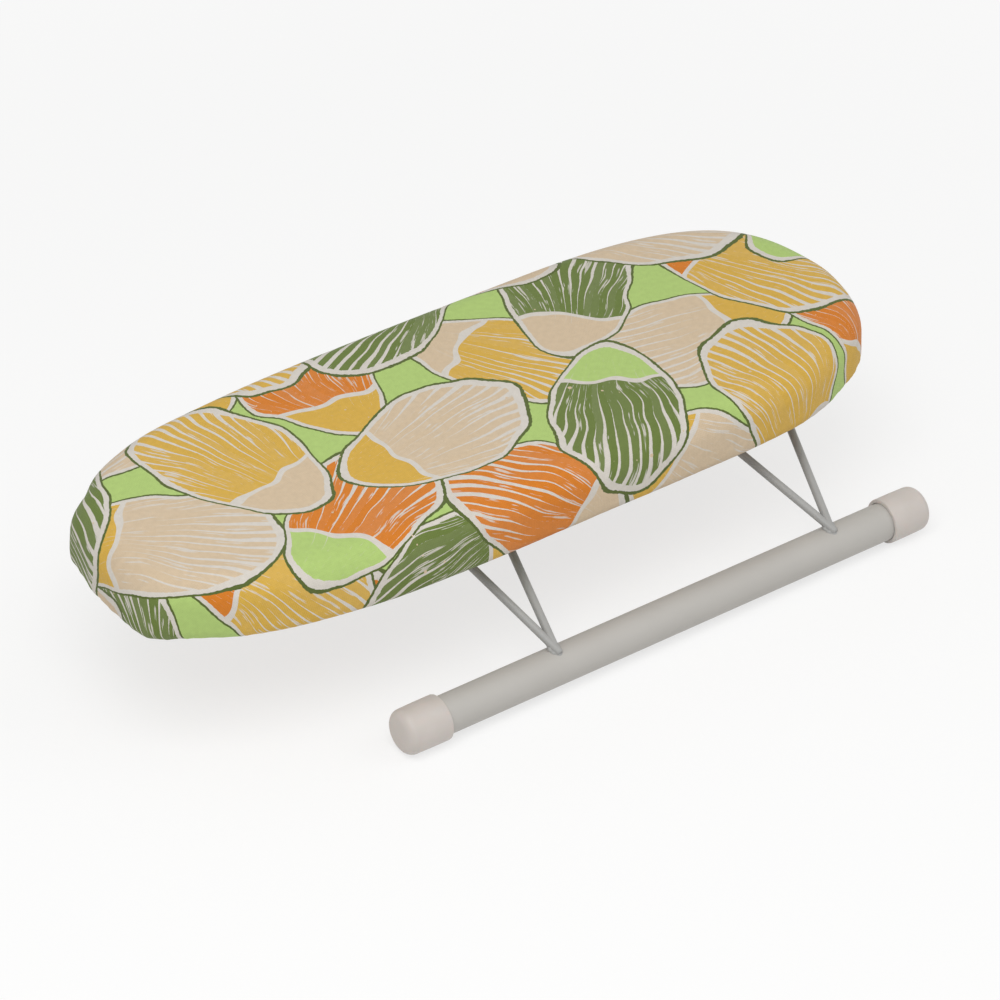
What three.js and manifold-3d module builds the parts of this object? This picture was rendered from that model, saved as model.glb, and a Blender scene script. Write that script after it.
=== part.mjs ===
// Tabletop ironing board: a padded, covered board on two folding legs of bent wire and steel tube.
// Millimetres, +Z up. +Y is the rear, -X is the sleeve end, where the board overhangs its legs.
// The origin lies on the table, under the middle of the board.

import * as THREE from "three";
import { mergeVertices } from "three/addons/utils/BufferGeometryUtils.js";
import Module from "manifold-3d";

const wasm = await Module();
wasm.setup();

// Driving dimensions: the covered board
const BOARD_LENGTH = 446;
const BOARD_WIDTH = 168;
const SLEEVE_END_LENGTH = 190; // how far the rounding of the sleeve end reaches along the board
const BACK_END_LENGTH = 137;
const END_FULLNESS = 0.725; // handle length of the end curves, 0.55 would be an ellipse
const TOP_EDGE_RADIUS = 15;
const LOWER_EDGE_RADIUS = 6.5;
const UNDERSIDE_HEIGHT = 70.8; // bare underside of the wooden board above the table
const CORE_THICKNESS = 12;
const PAD_THICKNESS = 21;
const PAD_SKIRT = 5.2; // padding drawn down over the edge of the wooden board
const COVER_THICKNESS = 1;
const HEM_REACH = 27; // from the outer edge of the cover to the fold of its hem
const HEM_OVERLAP = 7; // width of the strip turned back over the elastic
const ELASTIC_DIAMETER = 1.6;

// Driving dimensions: the legs
const TUBE_DIAMETER = 20;
const TUBE_WALL = 1;
const FOOT_LENGTH = 328; // over both end caps
const FOOT_SHIFT = 17.25; // feet set towards the sleeve end from the middle of the stations
const FOOT_SPREAD = 106; // from the board's centre line to each foot
const CAP_WALL = 1.8;
const CAP_LENGTH = 24.5;
const CAP_END_THICKNESS = 2.5;
const CAP_END_RADIUS = 4.5;
const CAP_RIM_CHAMFER = 0.6;
const WIRE_DIAMETER = 4.3;
const WIRE_BEND_RADIUS = 2.6; // on the wire's centre line
const WIRE_SEAT = 1.3; // wire's centre line above the tube where it is welded on
const WIRE_TAIL = 4; // wire running on past the top of the tube
const WELD_LENGTH = 5.5;
const WELD_WIDTH = 4;
const WELD_HEIGHT = 2.6;

// Driving dimensions: the hinges under the board
const BACK_OVERHANG = 76.5; // from the right station to the back end of the board
const STATION_SPACING = 174.5;
const NARROW_HALF_WIDTH = 22.3; // half the spread of the wires that run inside the lugs
const HINGE_OFFSET = 8; // from the board's centre line to each hinge axis
const HINGE_DROP = 5; // hinge axis below the wooden board
const LUG_THICKNESS = 1.5;
const LUG_SIDE_GAP = 0.6; // between a lug and the wires on both sides of it
const LUG_MARGIN = 3; // metal around the pin holes
const LUG_BEND_RADIUS = 1; // inside the bend
const LUG_BASE_LENGTH = 19;
const PIN_OVERHANG = 1.6; // pin showing past the lug
const PIN_CLEARANCE = 0.35;
const SCREW_INSET = 12.5; // from the lug's inner face to its screws
const SCREW_SPREAD = 7; // from the board's centre line to each screw
const SCREW_SHANK_DIAMETER = 3.2;
const SCREW_LENGTH = 9;
const SCREW_HEAD_DIAMETER = 7;
const SCREW_HEAD_HEIGHT = 2;
const FIT_GAP = 0.3; // between pieces that touch

// Facets
const END_STEPS = 12;
const EDGE_STEPS = 3;
const CAP_SIDES = 32;
const CAP_CURVE_STEPS = 2;
const TUBE_SIDES = 40;
const WIRE_SIDES = 12;
const BEND_STEPS = 6;
const WELD_STEPS = 6;
const ELASTIC_SIDES = 6;
const SCREW_SIDES = 14;
const SCREW_CURVE_STEPS = 3;
const HOLE_SIDES = 20;

// Sizes that follow from the driving dimensions
const coreBottom = UNDERSIDE_HEIGHT;
const coreTop = coreBottom + CORE_THICKNESS;
const padBottom = coreTop + FIT_GAP;
const padTop = padBottom + PAD_THICKNESS;
const coverTop = padTop + FIT_GAP + COVER_THICKNESS;
const hemBottom = coreBottom - FIT_GAP - COVER_THICKNESS;
const padInset = COVER_THICKNESS + FIT_GAP;
const padSkirtInset = padInset + PAD_SKIRT;
const coreInset = padSkirtInset + FIT_GAP;
const elasticRoom = ELASTIC_DIAMETER + 2 * FIT_GAP;
const capRadius = TUBE_DIAMETER / 2 + FIT_GAP + CAP_WALL;
const footZ = capRadius * Math.cos(Math.PI / CAP_SIDES); // the caps stand on a facet
const tubeLength = FOOT_LENGTH - 2 * (CAP_END_THICKNESS + FIT_GAP);
const wireRadius = WIRE_DIAMETER / 2;
const lugX = NARROW_HALF_WIDTH + wireRadius + LUG_SIDE_GAP + LUG_THICKNESS / 2;
const lugReach = wireRadius + PIN_CLEARANCE + LUG_MARGIN; // metal past a hinge axis
const lugHalfWidth = HINGE_OFFSET + lugReach;
const hingeZ = coreBottom - HINGE_DROP;
const legRun = FOOT_SPREAD - HINGE_OFFSET;
const legRise = hingeZ - (footZ + TUBE_DIAMETER / 2 + WIRE_SEAT);
const legReach = Math.hypot(legRun, legRise);
const legSlope = Math.atan2(legRise, legRun);
const wideAtLugEdge = lugX + LUG_THICKNESS / 2 + LUG_SIDE_GAP + wireRadius;
const wideHalfWidth = wideAtLugEdge / (1 - lugReach / legReach);
const rightStationX = BOARD_LENGTH / 2 - BACK_OVERHANG;
const leftStationX = rightStationX - STATION_SPACING;
const footX = (leftStationX + rightStationX) / 2 - FOOT_SHIFT;
const screwX = lugX - LUG_THICKNESS / 2 - SCREW_INSET;

// Finishes
const finishes = {
  board: { color: 0xb98f62, roughness: 0.85, metalness: 0 },
  foam: { color: 0xe9e4d2, roughness: 0.95, metalness: 0 },
  cloth: { color: 0xcfae63, roughness: 0.9, metalness: 0 },
  elastic: { color: 0xf1efe8, roughness: 0.9, metalness: 0 },
  coatedSteel: { color: 0xb9b6b0, roughness: 0.45, metalness: 0.1 },
  zincSteel: { color: 0xb4b7ba, roughness: 0.35, metalness: 0.9 },
  plastic: { color: 0xcdc3b9, roughness: 0.5, metalness: 0 },
};

function piece(name, geometry, finish) {
  const mesh = new THREE.Mesh(geometry, new THREE.MeshStandardMaterial(finishes[finish]));
  mesh.name = name;
  return mesh;
}

// Solids for joining and cutting
function toSolid(geometry) {
  const bare = geometry.clone();
  bare.deleteAttribute("normal");
  bare.deleteAttribute("uv");
  const merged = mergeVertices(bare, 1e-4);
  const vertProperties = new Float32Array(merged.getAttribute("position").array);
  const triVerts = new Uint32Array(merged.getIndex().array);
  return new wasm.Manifold(new wasm.Mesh({ numProp: 3, vertProperties, triVerts }));
}

function toGeometry(solid) {
  const mesh = solid.getMesh();
  const geometry = new THREE.BufferGeometry();
  geometry.setAttribute("position", new THREE.BufferAttribute(mesh.vertProperties, 3));
  geometry.setIndex(new THREE.BufferAttribute(mesh.triVerts, 1));
  geometry.computeVertexNormals();
  return geometry;
}

// The plan outline of the board: straight sides and two full, rounded ends
function boardOutline() {
  const halfWidth = BOARD_WIDTH / 2;
  const left = -BOARD_LENGTH / 2;
  const right = BOARD_LENGTH / 2;
  const leftSide = left + SLEEVE_END_LENGTH;
  const rightSide = right - BACK_END_LENGTH;
  const handle = halfWidth * END_FULLNESS;
  const leftHandle = leftSide - SLEEVE_END_LENGTH * END_FULLNESS;
  const rightHandle = rightSide + BACK_END_LENGTH * END_FULLNESS;
  const outline = new THREE.Shape();
  outline.moveTo(leftSide, -halfWidth);
  outline.lineTo(rightSide, -halfWidth);
  outline.bezierCurveTo(rightHandle, -halfWidth, right, -handle, right, 0);
  outline.bezierCurveTo(right, handle, rightHandle, halfWidth, rightSide, halfWidth);
  outline.lineTo(leftSide, halfWidth);
  outline.bezierCurveTo(leftHandle, halfWidth, left, handle, left, 0);
  outline.bezierCurveTo(left, -handle, leftHandle, -halfWidth, leftSide, -halfWidth);
  return outline.getPoints(END_STEPS).slice(0, -1);
}

const outlinePoints = boardOutline();
const outlineCount = outlinePoints.length;

// At each point, the step that moves both neighbouring edges outwards by one millimetre
const outlineMitres = outlinePoints.map((point, i) => {
  const behind = outlinePoints[(i + outlineCount - 1) % outlineCount];
  const ahead = outlinePoints[(i + 1) % outlineCount];
  const arriving = point.clone().sub(behind).normalize();
  const leaving = ahead.clone().sub(point).normalize();
  const normalSum = new THREE.Vector2(arriving.y + leaving.y, -arriving.x - leaving.x);
  return normalSum.divideScalar(1 + arriving.dot(leaving));
});

function insetOutline(inset) {
  return outlinePoints.map((point, i) => point.clone().addScaledVector(outlineMitres[i], -inset));
}

// Section points are (inset from the outline, height)
function sectionArc(centerInset, centerZ, radius, fromAngle, toAngle) {
  return Array.from({ length: EDGE_STEPS + 1 }, (_, i) => {
    const angle = fromAngle + ((toAngle - fromAngle) * i) / EDGE_STEPS;
    return [centerInset - radius * Math.cos(angle), centerZ + radius * Math.sin(angle)];
  });
}

// A solid lofted around the outline. Its section runs from the middle of one flat face to the
// middle of another, or comes back to its own start as a closed ring.
function loftAroundOutline(section, closedRing) {
  const positions = [];
  const triangles = [];
  for (const [inset, z] of section) {
    for (const p of insetOutline(inset)) {
      positions.push(p.x, p.y, z);
    }
  }
  const rings = section.length;
  const spans = closedRing ? rings : rings - 1;
  for (let r = 0; r < spans; r += 1) {
    const here = r * outlineCount;
    const next = ((r + 1) % rings) * outlineCount;
    for (let i = 0; i < outlineCount; i += 1) {
      const j = (i + 1) % outlineCount;
      triangles.push(here + i, next + i, next + j);
      triangles.push(here + i, next + j, here + j);
    }
  }
  if (!closedRing) {
    const startMiddle = positions.length / 3;
    positions.push(0, 0, section[0][1]);
    positions.push(0, 0, section[rings - 1][1]);
    const last = (rings - 1) * outlineCount;
    for (let i = 0; i < outlineCount; i += 1) {
      const j = (i + 1) % outlineCount;
      triangles.push(startMiddle, i, j);
      triangles.push(startMiddle + 1, last + j, last + i);
    }
  }
  const geometry = new THREE.BufferGeometry();
  geometry.setAttribute("position", new THREE.Float32BufferAttribute(positions, 3));
  geometry.setIndex(triangles);
  geometry.computeVertexNormals();
  return geometry;
}

const QUARTER = Math.PI / 2;

// Wooden board with blind pilot holes for the screws of the hinge lugs
function coreGeometry() {
  const shape = new THREE.Shape(insetOutline(coreInset));
  const slab = new THREE.ExtrudeGeometry(shape, { depth: CORE_THICKNESS, bevelEnabled: false });
  slab.translate(0, 0, coreBottom);
  const holeRadius = SCREW_SHANK_DIAMETER / 2 + FIT_GAP;
  const holeDepth = SCREW_LENGTH - LUG_THICKNESS + FIT_GAP;
  let solid = toSolid(slab);
  for (const place of screwPlaces()) {
    const hole = new THREE.CylinderGeometry(holeRadius, holeRadius, 2 * holeDepth, SCREW_SIDES);
    hole.rotateX(QUARTER);
    hole.translate(place.x, place.y, coreBottom);
    solid = solid.subtract(toSolid(hole));
  }
  return toGeometry(solid);
}

// Foam pad with a rounded upper edge and a skirt drawn down over the wooden board
function padGeometry() {
  const topRadius = TOP_EDGE_RADIUS - padInset;
  const lowerRadius = LOWER_EDGE_RADIUS - padInset;
  const arcEndInset = Math.min(padSkirtInset, LOWER_EDGE_RADIUS);
  const arcEnd = -Math.acos((LOWER_EDGE_RADIUS - arcEndInset) / lowerRadius);
  const section = [
    ...sectionArc(TOP_EDGE_RADIUS, padTop - topRadius, topRadius, QUARTER, 0),
    ...sectionArc(LOWER_EDGE_RADIUS, coreBottom + lowerRadius, lowerRadius, 0, arcEnd),
  ];
  if (padSkirtInset > arcEndInset) {
    section.push([padSkirtInset, coreBottom]);
  }
  section.push([padSkirtInset, padBottom]);
  return loftAroundOutline(section, false);
}

// Cloth cover: over the pad, around its edge, in under the board, and back over the elastic
function coverGeometry() {
  const innerTop = coverTop - COVER_THICKNESS;
  const innerTopRadius = TOP_EDGE_RADIUS - COVER_THICKNESS;
  const innerLowerRadius = LOWER_EDGE_RADIUS - COVER_THICKNESS;
  const hemTop = hemBottom + COVER_THICKNESS;
  const turnRadius = elasticRoom / 2 + COVER_THICKNESS;
  const turnInset = HEM_REACH - turnRadius;
  const turnZ = hemTop - turnRadius;
  const stripBottom = hemTop - 2 * turnRadius;
  const stripEdge = HEM_REACH - HEM_OVERLAP;
  const section = [
    ...sectionArc(TOP_EDGE_RADIUS, coverTop - TOP_EDGE_RADIUS, TOP_EDGE_RADIUS, QUARTER, 0),
    ...sectionArc(LOWER_EDGE_RADIUS, hemBottom + LOWER_EDGE_RADIUS, LOWER_EDGE_RADIUS, 0, -QUARTER),
    [turnInset, hemBottom],
    [turnInset + elasticRoom / 2, turnZ],
    [turnInset, stripBottom + COVER_THICKNESS],
    [stripEdge, stripBottom + COVER_THICKNESS],
    [stripEdge, stripBottom],
    [turnInset, stripBottom],
    [HEM_REACH, turnZ],
    [turnInset, hemTop],
    ...sectionArc(LOWER_EDGE_RADIUS, hemTop + innerLowerRadius, innerLowerRadius, -QUARTER, 0),
    ...sectionArc(TOP_EDGE_RADIUS, innerTop - innerTopRadius, innerTopRadius, 0, QUARTER),
  ];
  return loftAroundOutline(section, false);
}

// Elastic cord lying in the fold of the hem
function elasticGeometry() {
  const turnRadius = elasticRoom / 2 + COVER_THICKNESS;
  const centerInset = HEM_REACH - turnRadius - elasticRoom / 2;
  const centerZ = coreBottom - FIT_GAP - turnRadius;
  const radius = ELASTIC_DIAMETER / 2;
  const section = Array.from({ length: ELASTIC_SIDES }, (_, i) => {
    const angle = (-2 * Math.PI * i) / ELASTIC_SIDES;
    return [centerInset - radius * Math.cos(angle), centerZ + radius * Math.sin(angle)];
  });
  return loftAroundOutline(section, true);
}

// Steel foot tube along X
function tubeGeometry() {
  const ring = new THREE.Shape();
  ring.absarc(0, 0, TUBE_DIAMETER / 2, 0, 2 * Math.PI);
  const bore = new THREE.Path();
  bore.absarc(0, 0, TUBE_DIAMETER / 2 - TUBE_WALL, 0, 2 * Math.PI);
  ring.holes.push(bore);
  const geometry = new THREE.ExtrudeGeometry(ring, {
    depth: tubeLength,
    bevelEnabled: false,
    curveSegments: TUBE_SIDES / 2,
  });
  geometry.translate(0, 0, -tubeLength / 2);
  geometry.rotateY(QUARTER);
  return geometry;
}

// Moulded cap that slips over a tube end. Its closed end faces -X.
function capGeometry() {
  const bore = TUBE_DIAMETER / 2 + FIT_GAP;
  const profile = new THREE.Path();
  profile.moveTo(0, 0);
  profile.lineTo(capRadius - CAP_END_RADIUS, 0);
  profile.absarc(capRadius - CAP_END_RADIUS, CAP_END_RADIUS, CAP_END_RADIUS, -QUARTER, 0, false);
  profile.lineTo(capRadius, CAP_LENGTH - CAP_RIM_CHAMFER);
  profile.lineTo(capRadius - CAP_RIM_CHAMFER, CAP_LENGTH);
  profile.lineTo(bore, CAP_LENGTH);
  profile.lineTo(bore, CAP_END_THICKNESS);
  profile.lineTo(0, CAP_END_THICKNESS);
  const points = profile.getPoints(CAP_CURVE_STEPS);
  const geometry = new THREE.LatheGeometry(points, CAP_SIDES, Math.PI / CAP_SIDES);
  geometry.rotateZ(-QUARTER);
  return geometry;
}

// Centre line of a bent wire: straight runs are one step long, bends are split evenly
class WirePath extends THREE.Curve {
  constructor(knots) {
    super();
    this.knots = knots;
  }

  getUtoTmapping(u) {
    return u;
  }

  getPoint(t, target = new THREE.Vector3()) {
    const place = t * (this.knots.length - 1);
    const index = Math.min(Math.floor(place), this.knots.length - 2);
    return target.lerpVectors(this.knots[index], this.knots[index + 1], place - index);
  }
}

// Knots of a path from start over corner to end, with the corner rounded
function roundedCorner(start, corner, end, radius) {
  const inward = start.clone().sub(corner).normalize();
  const outward = end.clone().sub(corner).normalize();
  const halfAngle = inward.angleTo(outward) / 2;
  const middle = inward.clone().add(outward).normalize();
  const center = corner.clone().addScaledVector(middle, radius / Math.sin(halfAngle));
  const first = corner.clone().addScaledVector(inward, radius / Math.tan(halfAngle));
  const last = corner.clone().addScaledVector(outward, radius / Math.tan(halfAngle));
  const axis = first.clone().sub(center).cross(last.clone().sub(center)).normalize();
  const sweep = Math.PI - 2 * halfAngle;
  const bend = Array.from({ length: BEND_STEPS + 1 }, (_, i) => {
    const arm = first.clone().sub(center).applyAxisAngle(axis, (sweep * i) / BEND_STEPS);
    return arm.add(center);
  });
  return [start, ...bend, end];
}

// One wire leg with its hinge pin, drawn with the hinge axis on X and the foot towards -Y
function wireLegGeometry(halfWidth, pinEndX, side) {
  const apex = new THREE.Vector3(0, -legReach, 0);
  const corner = new THREE.Vector3(side * halfWidth, 0, 0);
  const pinEnd = new THREE.Vector3(side * pinEndX, 0, 0);
  const tail = apex.clone().sub(corner).normalize().multiplyScalar(WIRE_TAIL).add(apex);
  const knots = roundedCorner(pinEnd, corner, tail, WIRE_BEND_RADIUS);
  const round = new THREE.Shape();
  round.absarc(0, 0, wireRadius, 0, 2 * Math.PI);
  return new THREE.ExtrudeGeometry(round, {
    steps: knots.length - 1,
    curveSegments: WIRE_SIDES / 2,
    extrudePath: new WirePath(knots),
  });
}

// A V of wire welded to the tube: two legs that meet in a weld, coped to the tube's surface
function wireVeeGeometry(halfWidth, pinEndX) {
  const weld = new THREE.SphereGeometry(1, WIRE_SIDES, WELD_STEPS);
  weld.scale(WELD_WIDTH, WELD_LENGTH, WELD_HEIGHT);
  weld.translate(0, -legReach, 0);
  const tubeRadius = TUBE_DIAMETER / 2 + FIT_GAP;
  const tubeSpace = new THREE.CylinderGeometry(tubeRadius, tubeRadius, 4 * halfWidth, TUBE_SIDES);
  tubeSpace.rotateZ(QUARTER);
  tubeSpace.translate(0, HINGE_OFFSET - FOOT_SPREAD, footZ - hingeZ);
  tubeSpace.rotateX(-legSlope);
  const solid = toSolid(wireLegGeometry(halfWidth, pinEndX, -1))
    .add(toSolid(wireLegGeometry(halfWidth, pinEndX, 1)))
    .add(toSolid(weld))
    .subtract(toSolid(tubeSpace));
  return toGeometry(solid);
}

// Hinge lug: an angle of folded sheet, its base screwed to the board and its plate holding two pins.
// The plate stands at +X and the base reaches towards -X.
function lugGeometry() {
  const outside = LUG_BEND_RADIUS + LUG_THICKNESS;
  const plateX = LUG_THICKNESS / 2;
  const plateBottom = -HINGE_DROP - lugReach;
  const fold = new THREE.Shape();
  fold.moveTo(plateX - LUG_BASE_LENGTH, 0);
  fold.lineTo(plateX - LUG_BASE_LENGTH, -LUG_THICKNESS);
  fold.lineTo(plateX - outside, -LUG_THICKNESS);
  fold.absarc(plateX - outside, -outside, LUG_BEND_RADIUS, QUARTER, 0, true);
  fold.lineTo(plateX - LUG_THICKNESS, plateBottom);
  fold.lineTo(plateX, plateBottom);
  fold.lineTo(plateX, -outside);
  fold.absarc(plateX - outside, -outside, outside, 0, QUARTER, false);
  const width = 2 * lugHalfWidth;
  const angle = new THREE.ExtrudeGeometry(fold, {
    depth: width,
    bevelEnabled: false,
    curveSegments: BEND_STEPS / 2,
  });
  angle.rotateX(QUARTER);
  angle.translate(0, lugHalfWidth, 0);

  const face = new THREE.Shape();
  face.moveTo(-lugHalfWidth, LUG_THICKNESS);
  face.lineTo(-lugHalfWidth, -HINGE_DROP);
  face.absarc(-HINGE_OFFSET, -HINGE_DROP, lugReach, Math.PI, 1.5 * Math.PI, false);
  face.absarc(HINGE_OFFSET, -HINGE_DROP, lugReach, 1.5 * Math.PI, 2 * Math.PI, false);
  face.lineTo(lugHalfWidth, LUG_THICKNESS);
  const keep = new THREE.ExtrudeGeometry(face, {
    depth: 2 * LUG_BASE_LENGTH,
    bevelEnabled: false,
    curveSegments: BEND_STEPS / 2,
  });
  keep.rotateX(QUARTER);
  keep.rotateZ(QUARTER);
  keep.translate(-1.5 * LUG_BASE_LENGTH, 0, 0);

  const pinRadius = wireRadius + PIN_CLEARANCE;
  const screwRadius = SCREW_SHANK_DIAMETER / 2 + FIT_GAP;
  let solid = toSolid(angle).intersect(toSolid(keep));
  for (const side of [-1, 1]) {
    const pinHole = new THREE.CylinderGeometry(pinRadius, pinRadius, 4 * LUG_THICKNESS, HOLE_SIDES);
    pinHole.rotateZ(QUARTER);
    pinHole.translate(0, side * HINGE_OFFSET, -HINGE_DROP);
    const screwHole = new THREE.CylinderGeometry(
      screwRadius, screwRadius, 4 * LUG_THICKNESS, SCREW_SIDES);
    screwHole.rotateX(QUARTER);
    screwHole.translate(screwX - lugX, side * SCREW_SPREAD, -LUG_THICKNESS / 2);
    solid = solid.subtract(toSolid(pinHole)).subtract(toSolid(screwHole));
  }
  return toGeometry(solid);
}

// Pan-head screw driven upwards, with the seat of its head at the origin
function screwGeometry() {
  const headRadius = SCREW_HEAD_DIAMETER / 2;
  const profile = new THREE.Path();
  profile.moveTo(0, -SCREW_HEAD_HEIGHT);
  profile.quadraticCurveTo(headRadius, -SCREW_HEAD_HEIGHT, headRadius, 0);
  profile.lineTo(SCREW_SHANK_DIAMETER / 2, 0);
  profile.lineTo(SCREW_SHANK_DIAMETER / 2, SCREW_LENGTH - SCREW_SHANK_DIAMETER / 2);
  profile.lineTo(0, SCREW_LENGTH);
  const geometry = new THREE.LatheGeometry(profile.getPoints(SCREW_CURVE_STEPS), SCREW_SIDES);
  geometry.rotateX(QUARTER);
  return geometry;
}

// Two hinge stations with a pair of lugs each. The outer lug of a pair is the one nearer its end of
// the board. Side is the way the lug's plate faces along X.
const stations = { left: leftStationX, right: rightStationX };
const lugPlaces = [
  { name: "left_outer", stationX: stations.left, side: -1 },
  { name: "left_inner", stationX: stations.left, side: 1 },
  { name: "right_inner", stationX: stations.right, side: -1 },
  { name: "right_outer", stationX: stations.right, side: 1 },
];
const rows = { front: -1, rear: 1 };

function screwPlaces() {
  return lugPlaces.flatMap(({ name, stationX, side }) =>
    Object.entries(rows).map(([row, ySide]) => ({
      name: `screw_${name}_${row}`,
      x: stationX + side * screwX,
      y: ySide * SCREW_SPREAD,
    })),
  );
}

function buildBoard() {
  const board = new THREE.Group();
  board.add(piece("board_core", coreGeometry(), "board"));
  board.add(piece("foam_pad", padGeometry(), "foam"));
  board.add(piece("printed_cover", coverGeometry(), "cloth"));
  board.add(piece("hem_elastic", elasticGeometry(), "elastic"));
  for (const { name, stationX, side } of lugPlaces) {
    const lug = piece(`hinge_lug_${name}`, lugGeometry(), "zincSteel");
    lug.position.set(stationX + side * lugX, 0, coreBottom - FIT_GAP);
    lug.rotation.z = side > 0 ? 0 : Math.PI;
    board.add(lug);
  }
  const seatZ = coreBottom - LUG_THICKNESS - 2 * FIT_GAP;
  for (const place of screwPlaces()) {
    const screw = piece(place.name, screwGeometry(), "zincSteel");
    screw.position.set(place.x, place.y, seatZ);
    board.add(screw);
  }
  return board;
}

// A leg: a foot tube with two caps, and a narrow and a wide V of wire up to its hinge axis.
// Narrow wires run inside the lugs with their pins turned out, wide ones outside with pins turned in,
// and each station has one of each, so both legs can fold past one another.
function buildLeg(row, narrowStation, wideStation) {
  const ySide = rows[row];
  const leg = new THREE.Group();
  leg.position.set(0, ySide * HINGE_OFFSET, hingeZ);

  const foot = new THREE.Group();
  foot.position.set(footX, ySide * legRun, footZ - hingeZ);
  foot.add(piece(`${row}_foot_tube`, tubeGeometry(), "coatedSteel"));
  for (const [end, side] of Object.entries({ left: -1, right: 1 })) {
    const cap = piece(`${row}_cap_${end}`, capGeometry(), "plastic");
    cap.position.x = (side * FOOT_LENGTH) / 2;
    cap.rotation.z = side < 0 ? 0 : Math.PI;
    foot.add(cap);
  }
  leg.add(foot);

  const halfLug = LUG_THICKNESS / 2 + PIN_OVERHANG;
  const narrow = wireVeeGeometry(NARROW_HALF_WIDTH, lugX + halfLug);
  const wide = wireVeeGeometry(wideHalfWidth, lugX - halfLug);
  const vees = [
    [`${row}_wire_narrow`, narrow, narrowStation],
    [`${row}_wire_wide`, wide, wideStation],
  ];
  for (const [name, geometry, station] of vees) {
    const turn = new THREE.Group();
    turn.position.x = stations[station];
    turn.rotation.z = ySide < 0 ? 0 : Math.PI;
    const wire = piece(name, geometry, "coatedSteel");
    wire.rotation.x = legSlope;
    turn.add(wire);
    leg.add(turn);
  }
  return leg;
}

const ironingBoard = new THREE.Group();
ironingBoard.add(buildBoard());
ironingBoard.add(buildLeg("front", "left", "right"));
ironingBoard.add(buildLeg("rear", "right", "left"));

export default ironingBoard;
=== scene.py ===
"""Dressed scene of a tabletop ironing board.

The board is a padded oval with a printed cotton cover. It stands on two folding legs, each a capped
foot tube with two bent-wire braces that are pinned in sheet-metal lugs under the board.
Everything is in metres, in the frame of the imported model: +X to the back end, +Y to the rear, +Z up.
"""

from __future__ import annotations

import logging
import math
from dataclasses import dataclass, field
from enum import Enum
from typing import Any, Callable, Sequence

import bmesh
import bpy
from mathutils import Matrix, Vector, noise
from mathutils.geometry import interpolate_bezier

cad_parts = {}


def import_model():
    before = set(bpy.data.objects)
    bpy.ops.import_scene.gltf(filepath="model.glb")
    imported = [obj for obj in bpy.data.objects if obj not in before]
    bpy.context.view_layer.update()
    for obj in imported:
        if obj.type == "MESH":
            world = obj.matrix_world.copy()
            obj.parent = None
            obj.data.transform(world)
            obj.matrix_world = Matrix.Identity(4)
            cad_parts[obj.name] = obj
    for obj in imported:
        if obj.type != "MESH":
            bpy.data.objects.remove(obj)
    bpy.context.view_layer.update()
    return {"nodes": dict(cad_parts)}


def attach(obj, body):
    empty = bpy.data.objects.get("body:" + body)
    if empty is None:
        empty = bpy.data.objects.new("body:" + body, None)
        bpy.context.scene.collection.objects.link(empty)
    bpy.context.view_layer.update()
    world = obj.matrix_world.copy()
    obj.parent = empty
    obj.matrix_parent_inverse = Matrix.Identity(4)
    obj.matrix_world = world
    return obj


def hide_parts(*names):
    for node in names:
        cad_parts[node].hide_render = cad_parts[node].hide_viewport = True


LOG = logging.getLogger("ironing_board")
MM = 0.001
QUARTER = math.pi / 2
FULL_TURN = 2 * math.pi
UP = Vector((0, 0, 1))
SAME_POINT = 0.001 * MM
WHITE = (1.0, 1.0, 1.0, 1.0)
WAVE_RADIANS = 20  # angle that a wave texture runs through in one unit

# Shader nodes that are used often
MATH = "ShaderNodeMath"
VECTOR = "ShaderNodeVectorMath"
MIX = "ShaderNodeMix"
NOISE = "ShaderNodeTexNoise"
RANGE = "ShaderNodeMapRange"
BUMP = "ShaderNodeBump"
COORDINATES = "ShaderNodeTexCoord"
MAPPING = "ShaderNodeMapping"
PARTS = "ShaderNodeSeparateXYZ"
PRINCIPLED = "ShaderNodeBsdfPrincipled"
OUTPUT = "ShaderNodeOutputMaterial"

# Sockets of a mix node, whose names aren't unique
FLOAT_A = 2
FLOAT_B = 3
COLOR_A = 6
COLOR_B = 7
MIXED_COLOR = 2


class Row(Enum):
    """The two legs, by the side of the board they stand on."""

    FRONT = -1
    REAR = 1


class End(Enum):
    """The two ends of a foot tube, by their direction along X."""

    LEFT = -1
    RIGHT = 1


class Vee(Enum):
    """The two wire braces of a leg, by which side of the lugs their wires run on."""

    NARROW = "narrow"
    WIDE = "wide"


def linear(code: str) -> tuple[float, float, float, float]:
    """Turns an sRGB hex colour into linear light.

    Args:
        code: Six hex digits, such as "b9b6b0".

    Returns:
        Red, green, blue and an alpha of one.
    """
    channels = [int(code[i : i + 2], 16) / 255 for i in (0, 2, 4)]
    red, green, blue = (c / 12.92 if c <= 0.04045 else ((c + 0.055) / 1.055) ** 2.4 for c in channels)
    return red, green, blue, 1.0


def per_metre(size_mm: float) -> float:
    """Gives the texture scale on which one cell is so many millimetres wide."""
    return 1.0 / (size_mm * MM)


def add_node(
    tree: bpy.types.NodeTree, kind: str, inputs: dict[Any, Any] | None = None, **settings: Any
) -> Any:
    """Adds a node, sets its properties, and fills or links its inputs.

    Args:
        tree: The node tree that gets the node.
        kind: The node's type name.
        inputs: Socket name or number to a value, or to another node's output.
        settings: The node's own properties.

    Returns:
        The new node.
    """
    made = tree.nodes.new(kind)
    for name, value in settings.items():
        setattr(made, name, value)
    for key, value in (inputs or {}).items():
        if isinstance(value, bpy.types.NodeSocket):
            tree.links.new(value, made.inputs[key])
        else:
            made.inputs[key].default_value = value
    return made


def new_material(name: str) -> tuple[bpy.types.Material, bpy.types.NodeTree]:
    """Makes an empty node material.

    Args:
        name: What the material is.

    Returns:
        The material and its node tree.
    """
    material = bpy.data.materials.new(name)
    material.use_nodes = True
    material.node_tree.nodes.clear()
    return material, material.node_tree


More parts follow.
